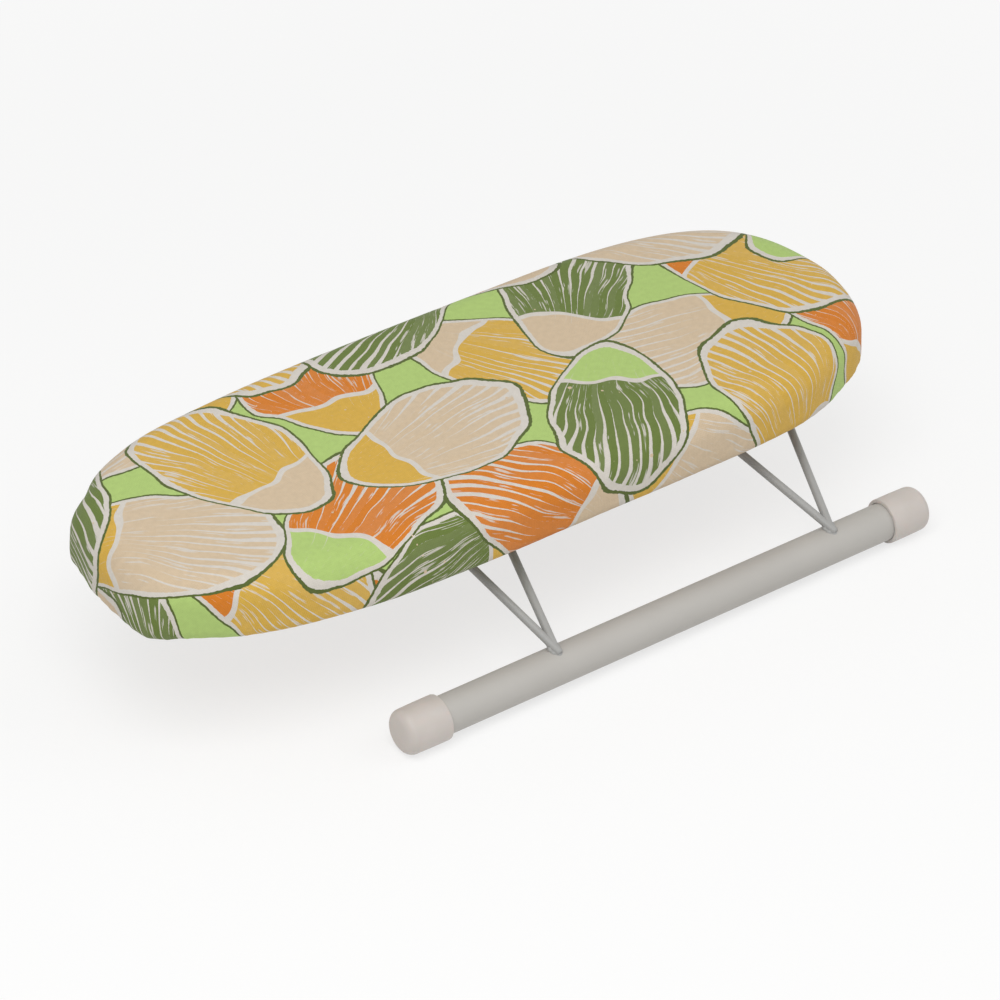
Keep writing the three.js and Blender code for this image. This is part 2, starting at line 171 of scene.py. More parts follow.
def add_clouds(
    tree: bpy.types.NodeTree, place: bpy.types.NodeSocket, size_mm: float, detail: float, low: str, high: str
) -> tuple[bpy.types.NodeSocket, bpy.types.NodeSocket]:
    """Adds a cloudy noise and a colour that drifts with it.

    Args:
        tree: The material's node tree.
        place: The place on the piece.
        size_mm: Size of a cloud.
        detail: Octaves of smaller clouds.
        low: Colour where the noise is low.
        high: Colour where it is high.

    Returns:
        The noise and the colour.
    """
    inputs = {"Vector": place, "Scale": per_metre(size_mm), "Detail": detail}
    cloud = add_node(tree, NOISE, inputs).outputs["Fac"]
    color = add_node(
        tree, MIX, {0: cloud, COLOR_A: linear(low), COLOR_B: linear(high)}, data_type="RGBA"
    ).outputs[MIXED_COLOR]
    return cloud, color


def add_seen(tree: bpy.types.NodeTree) -> bpy.types.NodeSocket:
    """Adds the nodes that tell what is seen, straight or in gloss or glass, from what only gives light.

    Args:
        tree: The node tree of a background.

    Returns:
        One where it is seen, and zero elsewhere.
    """
    path = add_node(tree, "ShaderNodeLightPath").outputs
    shiny = add_node(
        tree, MATH, {0: path["Is Glossy Ray"], 1: path["Is Transmission Ray"]}, operation="MAXIMUM"
    ).outputs[0]
    return add_node(tree, MATH, {0: path["Is Camera Ray"], 1: shiny}, operation="MAXIMUM").outputs[0]


@dataclass(frozen=True)
class PowderCoat:
    """Grey polyester powder coat, baked on steel: satin, with the faint orange peel of melted powder."""

    name: str = "powder coated tube"
    color: str = "bab7b2"
    shade: str = "b0ada8"
    roughness: float = 0.55
    peel_mm: float = 1.1
    cloud_mm: float = 28.0
    glossier: float = 0.05
    duller: float = 0.07
    peel_depth: float = 0.08 * MM

    def material(self) -> bpy.types.Material:
        """Builds the material.

        Returns:
            The coat.
        """
        material, tree = new_material(self.name)
        place = add_node(tree, COORDINATES).outputs["Object"]
        cloud, color = add_clouds(tree, place, self.cloud_mm, 3.0, self.shade, self.color)
        peel = add_node(
            tree, NOISE, {"Vector": place, "Scale": per_metre(self.peel_mm), "Detail": 1.5}
        ).outputs["Fac"]
        low, high = self.roughness - self.glossier, self.roughness + self.duller
        rough = add_node(tree, RANGE, {"Value": cloud, "To Min": low, "To Max": high}).outputs["Result"]
        bump = add_node(
            tree, BUMP, {"Height": peel, "Strength": 0.25, "Distance": self.peel_depth}
        ).outputs["Normal"]
        shader = add_node(
            tree,
            PRINCIPLED,
            {"Base Color": color, "Roughness": rough, "Normal": bump, "IOR": 1.5, "Specular IOR Level": 0.4},
        )
        add_node(tree, OUTPUT, {"Surface": shader.outputs[0]})
        return material


@dataclass(frozen=True)
class MouldedCap:
    """Soft polyethylene, injection moulded: off-white with a warm cast, dull, finely eroded mould skin."""

    color: str = "cac3be"
    aged: str = "bfb7b0"
    roughness: float = 0.48
    skin_mm: float = 0.7
    cloud_mm: float = 11.0
    glossier: float = 0.06
    duller: float = 0.08
    skin_depth: float = 0.06 * MM
    light_depth: float = 1.5 * MM

    def material(self) -> bpy.types.Material:
        """Builds the material.

        Returns:
            The plastic.
        """
        material, tree = new_material("moulded polyethylene")
        place = add_node(tree, COORDINATES).outputs["Object"]
        cloud, color = add_clouds(tree, place, self.cloud_mm, 4.0, self.aged, self.color)
        skin = add_node(
            tree, NOISE, {"Vector": place, "Scale": per_metre(self.skin_mm), "Detail": 2.0}
        ).outputs["Fac"]
        low, high = self.roughness - self.glossier, self.roughness + self.duller
        rough = add_node(tree, RANGE, {"Value": cloud, "To Min": low, "To Max": high}).outputs["Result"]
        bump = add_node(
            tree, BUMP, {"Height": skin, "Strength": 0.3, "Distance": self.skin_depth}
        ).outputs["Normal"]
        shader = add_node(
            tree,
            PRINCIPLED,
            {
                "Base Color": color,
                "Roughness": rough,
                "Normal": bump,
                "IOR": 1.51,
                "Subsurface Weight": 0.08,
                "Subsurface Scale": self.light_depth,
            },
        )
        add_node(tree, OUTPUT, {"Surface": shader.outputs[0]})
        return material


@dataclass(frozen=True)
class ZincPlate:
    """Bright zinc plate on pressed steel: bluish metal with faint rolling lines and cloudy passivation."""

    color: str = "c3c7ca"
    cloud: str = "a7abac"
    roughness: float = 0.34
    line_mm: float = 0.5
    line_stretch: float = 25.0
    cloud_mm: float = 6.0
    glossier: float = 0.08
    duller: float = 0.12
    line_depth: float = 0.03 * MM

    def material(self) -> bpy.types.Material:
        """Builds the material.

        Returns:
            The plated metal.
        """
        material, tree = new_material("zinc plated steel")
        place = add_node(tree, COORDINATES).outputs["Object"]
        stretch = (1.0, 1 / self.line_stretch, 1.0)
        drawn = add_node(tree, MAPPING, {"Vector": place, "Scale": stretch}).outputs[0]
        lines = add_node(
            tree, NOISE, {"Vector": drawn, "Scale": per_metre(self.line_mm), "Detail": 2.0}
        ).outputs["Fac"]
        color = add_clouds(tree, place, self.cloud_mm, 4.0, self.cloud, self.color)[1]
        low, high = self.roughness - self.glossier, self.roughness + self.duller
        rough = add_node(tree, RANGE, {"Value": lines, "To Min": low, "To Max": high}).outputs["Result"]
        bump = add_node(
            tree, BUMP, {"Height": lines, "Strength": 0.2, "Distance": self.line_depth}
        ).outputs["Normal"]
        shader = add_node(
            tree, PRINCIPLED, {"Base Color": color, "Metallic": 1.0, "Roughness": rough, "Normal": bump}
        )
        add_node(tree, OUTPUT, {"Surface": shader.outputs[0]})
        return material


@dataclass(frozen=True)
class Fibreboard:
    """Raw medium-density fibreboard, pressed and sanded: matte tan with short darker and paler fibres."""

    color: str = "b98f62"
    shade: str = "ad8458"
    dark: str = "966c43"
    pale: str = "d2ad80"
    fibre_mm: float = 1.6
    fibre_squeeze: float = 0.45
    fibre_depth: float = 0.12 * MM
    cloud_mm: float = 22.0

    def material(self) -> bpy.types.Material:
        """Builds the material.

        Returns:
            The board.
        """
        material, tree = new_material("raw fibreboard")
        place = add_node(tree, COORDINATES).outputs["Object"]
        squeeze = (self.fibre_squeeze, 1.0, 1.0)
        drawn = add_node(tree, MAPPING, {"Vector": place, "Scale": squeeze}).outputs[0]
        fibre = add_node(
            tree,
            NOISE,
            {"Vector": drawn, "Scale": per_metre(self.fibre_mm), "Detail": 5.0, "Roughness": 0.65},
        ).outputs["Fac"]
        base = add_clouds(tree, place, self.cloud_mm, 3.0, self.shade, self.color)[1]
        dark = add_node(
            tree, RANGE, {"Value": fibre, "From Min": 0.5, "From Max": 0.34, "To Max": 0.8}
        ).outputs["Result"]
        pale = add_node(
            tree, RANGE, {"Value": fibre, "From Min": 0.56, "From Max": 0.7, "To Max": 0.7}
        ).outputs["Result"]
        with_dark = add_node(
            tree, MIX, {0: dark, COLOR_A: base, COLOR_B: linear(self.dark)}, data_type="RGBA"
        ).outputs[MIXED_COLOR]
        color = add_node(
            tree, MIX, {0: pale, COLOR_A: with_dark, COLOR_B: linear(self.pale)}, data_type="RGBA"
        ).outputs[MIXED_COLOR]
        bump = add_node(
            tree, BUMP, {"Height": fibre, "Strength": 0.35, "Distance": self.fibre_depth}
        ).outputs["Normal"]
        shader = add_node(
            tree, PRINCIPLED, {"Base Color": color, "Roughness": 0.82, "Normal": bump, "IOR": 1.5}
        )
        add_node(tree, OUTPUT, {"Surface": shader.outputs[0]})
        return material


@dataclass(frozen=True)
class FoamFill:
    """Open-cell polyurethane foam, cut from a block: cream, matte, pitted with small cells that are darkened
    with painted shade.
    """

    color: str = "e9e4d2"
    # darker colour for the pits: painted shade
    painted_pit_shade: str = "cfc6a8"
    cell_mm: float = 1.4
    pit_depth: float = 0.4 * MM

    def material(self) -> bpy.types.Material:
        """Builds the material.

        Returns:
            The foam.
        """
        material, tree = new_material("open-cell foam")
        place = add_node(tree, COORDINATES).outputs["Object"]
        cell = add_node(
            tree, "ShaderNodeTexVoronoi", {"Vector": place, "Scale": per_metre(self.cell_mm)}
        ).outputs["Distance"]
        # Painted shade: the cell centres, which the bump sinks into pits, take the darker colour
        color = add_node(
            tree, MIX, {0: cell, COLOR_A: linear(self.painted_pit_shade), COLOR_B: linear(self.color)}, data_type="RGBA"
        ).outputs[MIXED_COLOR]
        bump = add_node(
            tree, BUMP, {"Height": cell, "Strength": 0.8, "Distance": self.pit_depth}
        ).outputs["Normal"]
        shader = add_node(tree, PRINCIPLED, {"Base Color": color, "Roughness": 0.95, "Normal": bump})
        add_node(tree, OUTPUT, {"Surface": shader.outputs[0]})
        return material


@dataclass(frozen=True)
class SewnThread:
    """Twisted polyester thread or braided elastic: a soft white with a slanting ply whose grooves are
    darkened with painted shade.
    """

    name: str = "twisted thread"
    color: str = "ece8df"
    # darker colour for the grooves of the ply: painted shade
    painted_groove_shade: str = "c9c3b6"
    ply_mm: float = 0.7  # length of one radian of the ply's wave
    slant: tuple[float, float, float] = (0.5, 0.4, 0.8)
    groove_depth: float = 0.1 * MM

    def material(self) -> bpy.types.Material:
        """Builds the material.

        Returns:
            The thread.
        """
        material, tree = new_material(self.name)
        place = add_node(tree, COORDINATES).outputs["Object"]
        slant = add_node(tree, MAPPING, {"Vector": place, "Rotation": self.slant}).outputs[0]
        ply = add_node(
            tree,
            "ShaderNodeTexWave",
            {"Vector": slant, "Scale": per_metre(self.ply_mm) / WAVE_RADIANS, "Distortion": 1.0},
        ).outputs["Fac"]
        # Painted shade: where the ply's wave is low, in its grooves, the thread takes the darker colour
        color = add_node(
            tree, MIX, {0: ply, COLOR_A: linear(self.painted_groove_shade), COLOR_B: linear(self.color)}, data_type="RGBA"
        ).outputs[MIXED_COLOR]
        bump = add_node(
            tree, BUMP, {"Height": ply, "Strength": 0.5, "Distance": self.groove_depth}
        ).outputs["Normal"]
        shader = add_node(
            tree, PRINCIPLED, {"Base Color": color, "Roughness": 0.8, "Normal": bump, "Sheen Weight": 0.2}
        )
        add_node(tree, OUTPUT, {"Surface": shader.outputs[0]})
        return material


class Ink(Enum):
    """The colours of the cover's print."""

    GROUND = "acc674"
    GREEN = "67783a"
    OLIVE = "56632f"
    ORANGE = "d07a24"
    OCHRE = "d0a848"
    BEIGE = "ceb99c"
    CREAM = "d1cbc2"


@dataclass(frozen=True)
class Fan:
    """One fan of the print's repeat: a rounded shape with brush strokes that spread from its heel.

    Sizes are in millimetres on the flat cloth. The reach is how far behind the heel the strokes would
    meet, as a share of the half length, so that a large one makes them nearly parallel.
    """

    x: float
    y: float
    turn_deg: float
    half_length: float
    half_width: float
    fill: Ink
    heel: Ink
    reach: float = 0.4
    pitch: float = 7.2


@dataclass(frozen=True)
class PrintedCotton:
    """Plain-weave cotton with a screen-printed repeat of brushed fans: matte, a little fuzzy, dry ink edges.

    Where a gap between strokes starts, and how bold it is, are each the least value and what chance adds.
    """

    repeat_mm: tuple[float, float] = (292.0, 214.0)
    tilt_deg: float = 21.0
    thread_mm: float = 1.0  # real threads are about half as wide, drawn coarser so that they show
    slub_mm: float = 3.0
    rim_mm: float = 2.3
    contour_mm: float = 1.2
    widening: float = 0.24
    edge_sway_mm: float = 3.0
    stroke_sway: float = 0.15
    gap_start: tuple[float, float] = (-0.7, 0.95)
    gap_boldness: tuple[float, float] = (0.4, 0.75)
    gap_most: float = 0.3
    gap_dryness: float = 0.07
    thin_most: float = 0.06
    streak_scale: float = 2.6
    streak_edge: tuple[float, float] = (0.62, 0.66)
    streak_most: float = 0.8
    heel_share: float = -0.4
    heel_sway: float = 0.18
    heel_arc: float = 0.028
    seed_first: float = 0.3
    seed_step: float = 37.0
    drift_mm: float = 16.0
    drift_cell_mm: float = 46.0
    wave_cell_mm: float = 17.0
    dry_cell_mm: float = 2.4
    speck_cell_mm: float = 6.0
    speck_most: float = 0.24
    speck_dryness: float = 0.12
    speck_least: float = 0.05
    cluster_cell_mm: float = 34.0
    fans: tuple[Fan, ...] = (
        Fan(24, 30, 35, 60, 35, Ink.OCHRE, Ink.BEIGE, 0.5),
        Fan(118, 22, 160, 62, 36, Ink.BEIGE, Ink.OCHRE, 0.8),
        Fan(214, 34, 250, 58, 36, Ink.ORANGE, Ink.OCHRE, 0.3),
        Fan(70, 78, 285, 57, 35, Ink.GREEN, Ink.BEIGE, 0.5),
        Fan(168, 80, 40, 60, 34, Ink.OCHRE, Ink.ORANGE, 0.6),
        Fan(262, 84, 130, 57, 35, Ink.GREEN, Ink.OCHRE, 0.4),
        Fan(18, 128, 200, 58, 34, Ink.ORANGE, Ink.BEIGE, 0.5),
        Fan(116, 134, 20, 61, 36, Ink.BEIGE, Ink.OCHRE, 0.4),
        Fan(212, 130, 305, 55, 33, Ink.ORANGE, Ink.GROUND, 0.7),
        Fan(66, 186, 100, 56, 33, Ink.GREEN, Ink.GROUND, 0.6),
        Fan(164, 188, 235, 59, 35, Ink.OCHRE, Ink.BEIGE, 0.3),
        Fan(262, 184, 330, 57, 34, Ink.BEIGE, Ink.OCHRE, 0.5),
    )

    def fan_group(self) -> bpy.types.NodeTree:
        """Builds the node group that lays one fan over what is printed so far.

        Returns:
            The group, with the fan's place, size and colours as its inputs.
        """
        tree = bpy.data.node_groups.new("brushed fan", "ShaderNodeTree")
        sockets = (
            ("Point", "NodeSocketVector"),
            ("Centre", "NodeSocketVector"),
            ("Turn", "NodeSocketFloat"),
            ("Half", "NodeSocketVector"),
            ("Reach", "NodeSocketFloat"),
            ("Strokes", "NodeSocketFloat"),
            ("Seed", "NodeSocketFloat"),
            ("Fill", "NodeSocketColor"),
            ("Heel", "NodeSocketColor"),
            ("Under", "NodeSocketColor"),
            ("Wave", "NodeSocketFloat"),
            ("Dry", "NodeSocketFloat"),
        )
        for name, kind in sockets:
            tree.interface.new_socket(name=name, in_out="INPUT", socket_type=kind)
        tree.interface.new_socket(name="Color", in_out="OUTPUT", socket_type="NodeSocketColor")
        given = add_node(tree, "NodeGroupInput").outputs
        half_repeat = (self.repeat_mm[0] / 2, self.repeat_mm[1] / 2, 1.0)
        low_repeat = tuple(-v for v in half_repeat)

        # The cloth point as seen from the fan, which comes back once in every repeat
        away = add_node(
            tree, VECTOR, {0: given["Point"], 1: given["Centre"]}, operation="SUBTRACT"
        ).outputs[0]
        near = add_node(tree, VECTOR, {0: away, 1: half_repeat, 2: low_repeat}, operation="WRAP").outputs[0]
        own = add_node(
            tree, "ShaderNodeVectorRotate", {"Vector": near, "Angle": given["Turn"]}, rotation_type="Z_AXIS"
        ).outputs[0]
        share = add_node(tree, VECTOR, {0: own, 1: given["Half"]}, operation="DIVIDE").outputs[0]
        own_parts = add_node(tree, PARTS, {0: own}).outputs
        parts = add_node(tree, PARTS, {0: share}).outputs
        half_parts = add_node(tree, PARTS, {0: given["Half"]}).outputs

        # Egg outline, wider at the far end, as a distance inside the edge
        widening = add_node(
            tree, MATH, {0: parts["X"], 1: self.widening, 2: 1.0}, operation="MULTIPLY_ADD"
        ).outputs[0]
        across = add_node(tree, MATH, {0: parts["Y"], 1: widening}, operation="DIVIDE").outputs[0]
        egg = add_node(tree, "ShaderNodeCombineXYZ", {0: parts["X"], 1: across}).outputs[0]
        ring = add_node(tree, VECTOR, {0: egg}, operation="LENGTH").outputs["Value"]
        depth = add_node(tree, MATH, {0: 1.0, 1: ring}, operation="SUBTRACT").outputs[0]
        sway = add_node(
            tree, MATH, {0: given["Wave"], 1: self.edge_sway_mm, 2: given["Dry"]}, operation="MULTIPLY_ADD"
        ).outputs[0]
        inside_mm = add_node(
            tree, MATH, {0: depth, 1: half_parts["Y"], 2: sway}, operation="MULTIPLY_ADD"
        ).outputs[0]
        shape = add_node(tree, MATH, {0: inside_mm, 1: 0.0}, operation="GREATER_THAN").outputs[0]
        rim = add_node(tree, MATH, {0: inside_mm, 1: self.rim_mm}, operation="LESS_THAN").outputs[0]
        line = add_node(
            tree, MATH, {0: inside_mm, 1: -self.contour_mm}, operation="GREATER_THAN"
        ).outputs[0]

        # Gaps between strokes: wedges that open towards the rim, each with its own start and width
        apex = add_node(
            tree,
            MATH,
            {0: given["Reach"], 1: half_parts["X"], 2: half_parts["X"]},
            operation="MULTIPLY_ADD",
        ).outputs[0]
        ahead = add_node(tree, MATH, {0: own_parts["X"], 1: apex}, operation="ADD").outputs[0]
        angle = add_node(tree, MATH, {0: own_parts["Y"], 1: ahead}, operation="ARCTAN2").outputs[0]
        stroke_turn = add_node(
            tree, MATH, {0: angle, 1: given["Strokes"], 2: given["Seed"]}, operation="MULTIPLY_ADD"
        ).outputs[0]
        phase = add_node(
            tree, MATH, {0: given["Wave"], 1: self.stroke_sway, 2: stroke_turn}, operation="MULTIPLY_ADD"
        ).outputs[0]
        number = add_node(tree, MATH, {0: phase}, operation="ROUND").outputs[0]
        off = add_node(tree, MATH, {0: phase, 1: number}, operation="SUBTRACT").outputs[0]
        gap = add_node(tree, MATH, {0: off}, operation="ABSOLUTE").outputs[0]
        chance = add_node(
            tree, "ShaderNodeTexWhiteNoise", {"W": number}, noise_dimensions="1D"
        ).outputs["Color"]
        chances = add_node(tree, "ShaderNodeSeparateColor", {0: chance}).outputs
        start = add_node(
            tree, MATH, {0: chances[0], 1: self.gap_start[1], 2: self.gap_start[0]}, operation="MULTIPLY_ADD"
        ).outputs[0]
        opening = add_node(
            tree, RANGE, {"Value": parts["X"], "From Min": start, "From Max": 1.0, "To Max": self.gap_most}
        ).outputs["Result"]
        boldness = add_node(
            tree,
            MATH,
            {0: chances[1], 1: self.gap_boldness[1], 2: self.gap_boldness[0]},
            operation="MULTIPLY_ADD",
        ).outputs[0]
        wedge = add_node(tree, MATH, {0: opening, 1: boldness}, operation="MULTIPLY").outputs[0]
        gap_width = add_node(
            tree, MATH, {0: given["Dry"], 1: self.gap_dryness, 2: wedge}, operation="MULTIPLY_ADD"
        ).outputs[0]
        stroke = add_node(tree, MATH, {0: gap, 1: gap_width}, operation="LESS_THAN").outputs[0]

        # Each stroke of the brush carries a little more or less ink, in streaks along its way
        lane = add_node(tree, MATH, {0: phase}, operation="FLOOR").outputs[0]
        load = add_node(tree, "ShaderNodeTexWhiteNoise", {"W": lane}, noise_dimensions="1D").outputs["Value"]
        thin = add_node(
            tree, RANGE, {"Value": load, "From Min": 0.35, "From Max": 1.0, "To Max": self.thin_most}
        ).outputs["Result"]
        streak_place = add_node(
            tree, "ShaderNodeCombineXYZ", {0: stroke_turn, 1: parts["X"], 2: given["Seed"]}
        ).outputs[0]
        streak_noise = add_node(
            tree,
            NOISE,
            {"Vector": streak_place, "Scale": self.streak_scale, "Detail": 2.0, "Roughness": 0.6},
        ).outputs["Fac"]
        streak = add_node(
            tree,
            RANGE,
            {
                "Value": streak_noise,
                "From Min": self.streak_edge[0],
                "From Max": self.streak_edge[1],
                "To Max": self.streak_most,
            },
        ).outputs["Result"]
        bare_share = add_node(tree, MATH, {0: thin, 1: streak}, operation="ADD").outputs[0]

        # The heel, set off by an arc of bare cloth
        wavy = add_node(
            tree, MATH, {0: given["Wave"], 1: self.heel_sway, 2: parts["X"]}, operation="MULTIPLY_ADD"
        ).outputs[0]
        heel = add_node(tree, MATH, {0: wavy, 1: self.heel_share}, operation="LESS_THAN").outputs[0]
        heel_line = add_node(
            tree, MATH, {0: wavy, 1: self.heel_share, 2: self.heel_arc}, operation="COMPARE"
        ).outputs[0]
        bare_line = add_node(tree, MATH, {0: rim, 1: stroke}, operation="MAXIMUM").outputs[0]
        bare = add_node(tree, MATH, {0: bare_line, 1: heel_line}, operation="MAXIMUM").outputs[0]

        inked = add_node(
            tree,
            MIX,
            {0: bare_share, COLOR_A: given["Fill"], COLOR_B: linear(Ink.CREAM.value)},
            data_type="RGBA",
        ).outputs[MIXED_COLOR]
        filled = add_node(
            tree, MIX, {0: heel, COLOR_A: inked, COLOR_B: given["Heel"]}, data_type="RGBA"
        ).outputs[MIXED_COLOR]
        brushed = add_node(
            tree, MIX, {0: bare, COLOR_A: filled, COLOR_B: linear(Ink.CREAM.value)}, data_type="RGBA"
        ).outputs[MIXED_COLOR]
        outlined = add_node(
            tree, MIX, {0: line, COLOR_A: given["Under"], COLOR_B: linear(Ink.OLIVE.value)}, data_type="RGBA"
        ).outputs[MIXED_COLOR]
        laid = add_node(
            tree, MIX, {0: shape, COLOR_A: outlined, COLOR_B: brushed}, data_type="RGBA"
        ).outputs[MIXED_COLOR]
        add_node(tree, "NodeGroupOutput", {"Color": laid})
        return tree

    def printed_color(self, tree: bpy.types.NodeTree, cloth: bpy.types.NodeSocket) -> bpy.types.NodeSocket:
        """Adds the nodes of the print.

        Args:
            tree: The cloth's node tree.
            cloth: Place on the flat cloth, in millimetres.

        Returns:
            The printed colour.
        """
        turned = add_node(
            tree, MAPPING, {"Vector": cloth, "Rotation": (0.0, 0.0, math.radians(self.tilt_deg))}
        ).outputs[0]
        drift = add_node(
            tree, NOISE, {"Vector": turned, "Scale": 1 / self.drift_cell_mm, "Detail": 1.0}
        ).outputs["Color"]
        most = Vector((self.drift_mm, self.drift_mm, 0.0))
        drift_mm = add_node(
            tree, VECTOR, {0: drift, 1: most, 2: -most / 2}, operation="MULTIPLY_ADD"
        ).outputs[0]
        point = add_node(tree, VECTOR, {0: turned, 1: drift_mm}, operation="ADD").outputs[0]
        slow = add_node(
            tree, NOISE, {"Vector": cloth, "Scale": 1 / self.wave_cell_mm, "Detail": 0.0}
        ).outputs["Fac"]
        wave = add_node(tree, MATH, {0: slow, 1: 0.5}, operation="SUBTRACT").outputs[0]
        quick = add_node(
            tree, NOISE, {"Vector": cloth, "Scale": 1 / self.dry_cell_mm, "Detail": 2.0}
        ).outputs["Fac"]
        dry = add_node(tree, MATH, {0: quick, 1: 0.5}, operation="SUBTRACT").outputs[0]

        group = self.fan_group()
        printed: Any = linear(Ink.GROUND.value)
        for number, fan in enumerate(self.fans):
            printed = add_node(
                tree,
                "ShaderNodeGroup",
                {
                    "Point": point,
                    "Centre": (fan.x, fan.y, 0.0),
                    "Turn": math.radians(fan.turn_deg),
                    "Half": (fan.half_length, fan.half_width, 1.0),
                    "Reach": fan.reach,
                    "Strokes": fan.half_length * (2 + fan.reach) / fan.pitch,
                    "Seed": self.seed_step * number + self.seed_first,
                    "Fill": linear(fan.fill.value),
                    "Heel": linear(fan.heel.value),
                    "Under": printed,
                    "Wave": wave,
                    "Dry": dry,
                },
                node_tree=group,
            ).outputs["Color"]

        # Dry specks, in loose clusters where the ink missed the cloth
        speck = add_node(
            tree,
            "ShaderNodeTexVoronoi",
            {"Vector": cloth, "Scale": 1 / self.speck_cell_mm, "Randomness": 1.0},
        ).outputs
        speck_pick = add_node(tree, "ShaderNodeSeparateColor", {0: speck["Color"]}).outputs
        cluster = add_node(
            tree, NOISE, {"Vector": cloth, "Scale": 1 / self.cluster_cell_mm, "Detail": 0.0}
        ).outputs["Fac"]
        crowd = add_node(
            tree, RANGE, {"Value": cluster, "From Min": 0.5, "From Max": 0.66, "To Max": self.speck_most}
        ).outputs["Result"]
        speck_size = add_node(tree, MATH, {0: speck_pick[0], 1: crowd}, operation="MULTIPLY").outputs[0]
        speck_edge = add_node(
            tree, MATH, {0: dry, 1: self.speck_dryness, 2: speck_size}, operation="MULTIPLY_ADD"
        ).outputs[0]
        reach = add_node(tree, MATH, {0: speck_edge, 1: self.speck_least}, operation="SUBTRACT").outputs[0]
        specks = add_node(tree, MATH, {0: speck["Distance"], 1: reach}, operation="LESS_THAN").outputs[0]
        return add_node(
            tree, MIX, {0: specks, COLOR_A: printed, COLOR_B: linear(Ink.BEIGE.value)}, data_type="RGBA"
        ).outputs[MIXED_COLOR]

    def material(self) -> bpy.types.Material:
        """Builds the material on the flat-cloth coordinates that the cover carries, in millimetres.

        Returns:
            The printed cloth.
        """
        material, tree = new_material("printed cotton")
        cloth = add_node(tree, "ShaderNodeAttribute", attribute_name="flat_cloth").outputs["Vector"]
        printed = self.printed_color(tree, cloth)

        # Plain weave: warp over weft on alternate crossings
        weave_scale = math.pi / self.thread_mm
        woven = add_node(tree, VECTOR, {0: cloth, 1: (weave_scale,) * 3}, operation="MULTIPLY").outputs[0]
        waves = add_node(tree, VECTOR, {0: woven}, operation="SINE").outputs[0]
        rounded = add_node(tree, VECTOR, {0: waves}, operation="ABSOLUTE").outputs[0]
        threads = add_node(tree, PARTS, {0: rounded}).outputs
        over = add_node(
            tree, "ShaderNodeTexChecker", {"Vector": cloth, "Scale": 1 / self.thread_mm}
        ).outputs["Fac"]
        weave = add_node(
            tree, MIX, {0: over, FLOAT_A: threads["X"], FLOAT_B: threads["Y"]}, data_type="FLOAT"
        ).outputs[0]
        slub = add_node(
            tree, NOISE, {"Vector": cloth, "Scale": 1 / self.slub_mm, "Detail": 2.0}
        ).outputs["Fac"]
        # Painted shade in the dips between threads, with a faint painted highlight on their crests
        painted_weave_shade = add_node(
            tree, RANGE, {"Value": weave, "To Min": 0.92, "To Max": 1.02}
        ).outputs["Result"]
        # Slubs: tone that differs at random
        slub_tone = add_node(
            tree, RANGE, {"Value": slub, "From Min": 0.3, "From Max": 0.7, "To Min": 0.95, "To Max": 1.03}
        ).outputs["Result"]
        # The weave's painted shade and the slubs' random tone together scale the printed colour
        light = add_node(tree, MATH, {0: painted_weave_shade, 1: slub_tone}, operation="MULTIPLY").outputs[0]
        color = add_node(tree, VECTOR, {0: printed, "Scale": light}, operation="SCALE").outputs[0]
        rough = add_node(tree, RANGE, {"Value": weave, "To Min": 0.92, "To Max": 0.82}).outputs["Result"]
        bump = add_node(
            tree, BUMP, {"Height": weave, "Strength": 0.35, "Distance": 0.15 * MM}
        ).outputs["Normal"]
        shader = add_node(
            tree,
            PRINCIPLED,
            {
                "Base Color": color,
                "Roughness": rough,
                "Normal": bump,
                "IOR": 1.46,
                "Specular IOR Level": 0.3,
                "Sheen Weight": 0.08,
                "Sheen Roughness": 0.5,
            },
        )
        add_node(tree, OUTPUT, {"Surface": shader.outputs[0]})
        return material


@dataclass(frozen=True)
class StudioFloor:
    """Matte white paper, shown near its full white: a soft shadow by the object, plain white far off."""

    color: str = "f4f4f3"
    fleck: str = "f1f1f0"
    fleck_mm: float = 2.0
    shown_white: float = 0.7
    fade_from: float = 0.32
    fade_to: float = 1.3

    def material(self) -> bpy.types.Material:
        """Builds the material.

        Returns:
            The paper.
        """
        material, tree = new_material("white paper")
        place = add_node(tree, COORDINATES).outputs["Object"]
        color = add_clouds(tree, place, self.fleck_mm, 2.0, self.fleck, self.color)[1]
        lit = add_node(tree, "ShaderNodeBsdfDiffuse", {"Color": color}).outputs[0]
        white = add_node(tree, "ShaderNodeEmission", {"Color": WHITE, "Strength": 1.0}).outputs[0]
        far = add_node(tree, VECTOR, {0: place}, operation="LENGTH").outputs["Value"]
        whiteness = add_node(
            tree,
            RANGE,
            {
                "Value": far,
                "From Min": self.fade_from,
                "From Max": self.fade_to,
                "To Min": self.shown_white,
                "To Max": 1.0,
            },
            interpolation_type="SMOOTHSTEP",
        ).outputs["Result"]
        share = add_node(tree, MATH, {0: add_seen(tree), 1: whiteness}, operation="MULTIPLY").outputs[0]
        shader = add_node(tree, "ShaderNodeMixShader", {0: share, 1: lit, 2: white})
        add_node(tree, OUTPUT, {"Surface": shader.outputs[0]})
        return material


def finish_piece(
    name: str, bm: bmesh.types.BMesh, material: bpy.types.Material, body: str
) -> bpy.types.Object:
    """Turns a bmesh into a smooth-shaded piece that rides on a body.

    Args:
        name: The piece's name.
        bm: Its mesh, in the row frame. It is freed here.
        material: Its finish.
        body: The body that carries it.

    Returns:
        The new object.
    """
    mesh = bpy.data.meshes.new(name)
    bm.to_mesh(mesh)
    bm.free()
    for polygon in mesh.polygons:
        polygon.use_smooth = True
    mesh.materials.append(material)
    piece = bpy.data.objects.new(name, mesh)
    bpy.context.scene.collection.objects.link(piece)
    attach(piece, body)
    LOG.info("%s rides on %s with %d faces", name, body, len(mesh.polygons))
    return piece


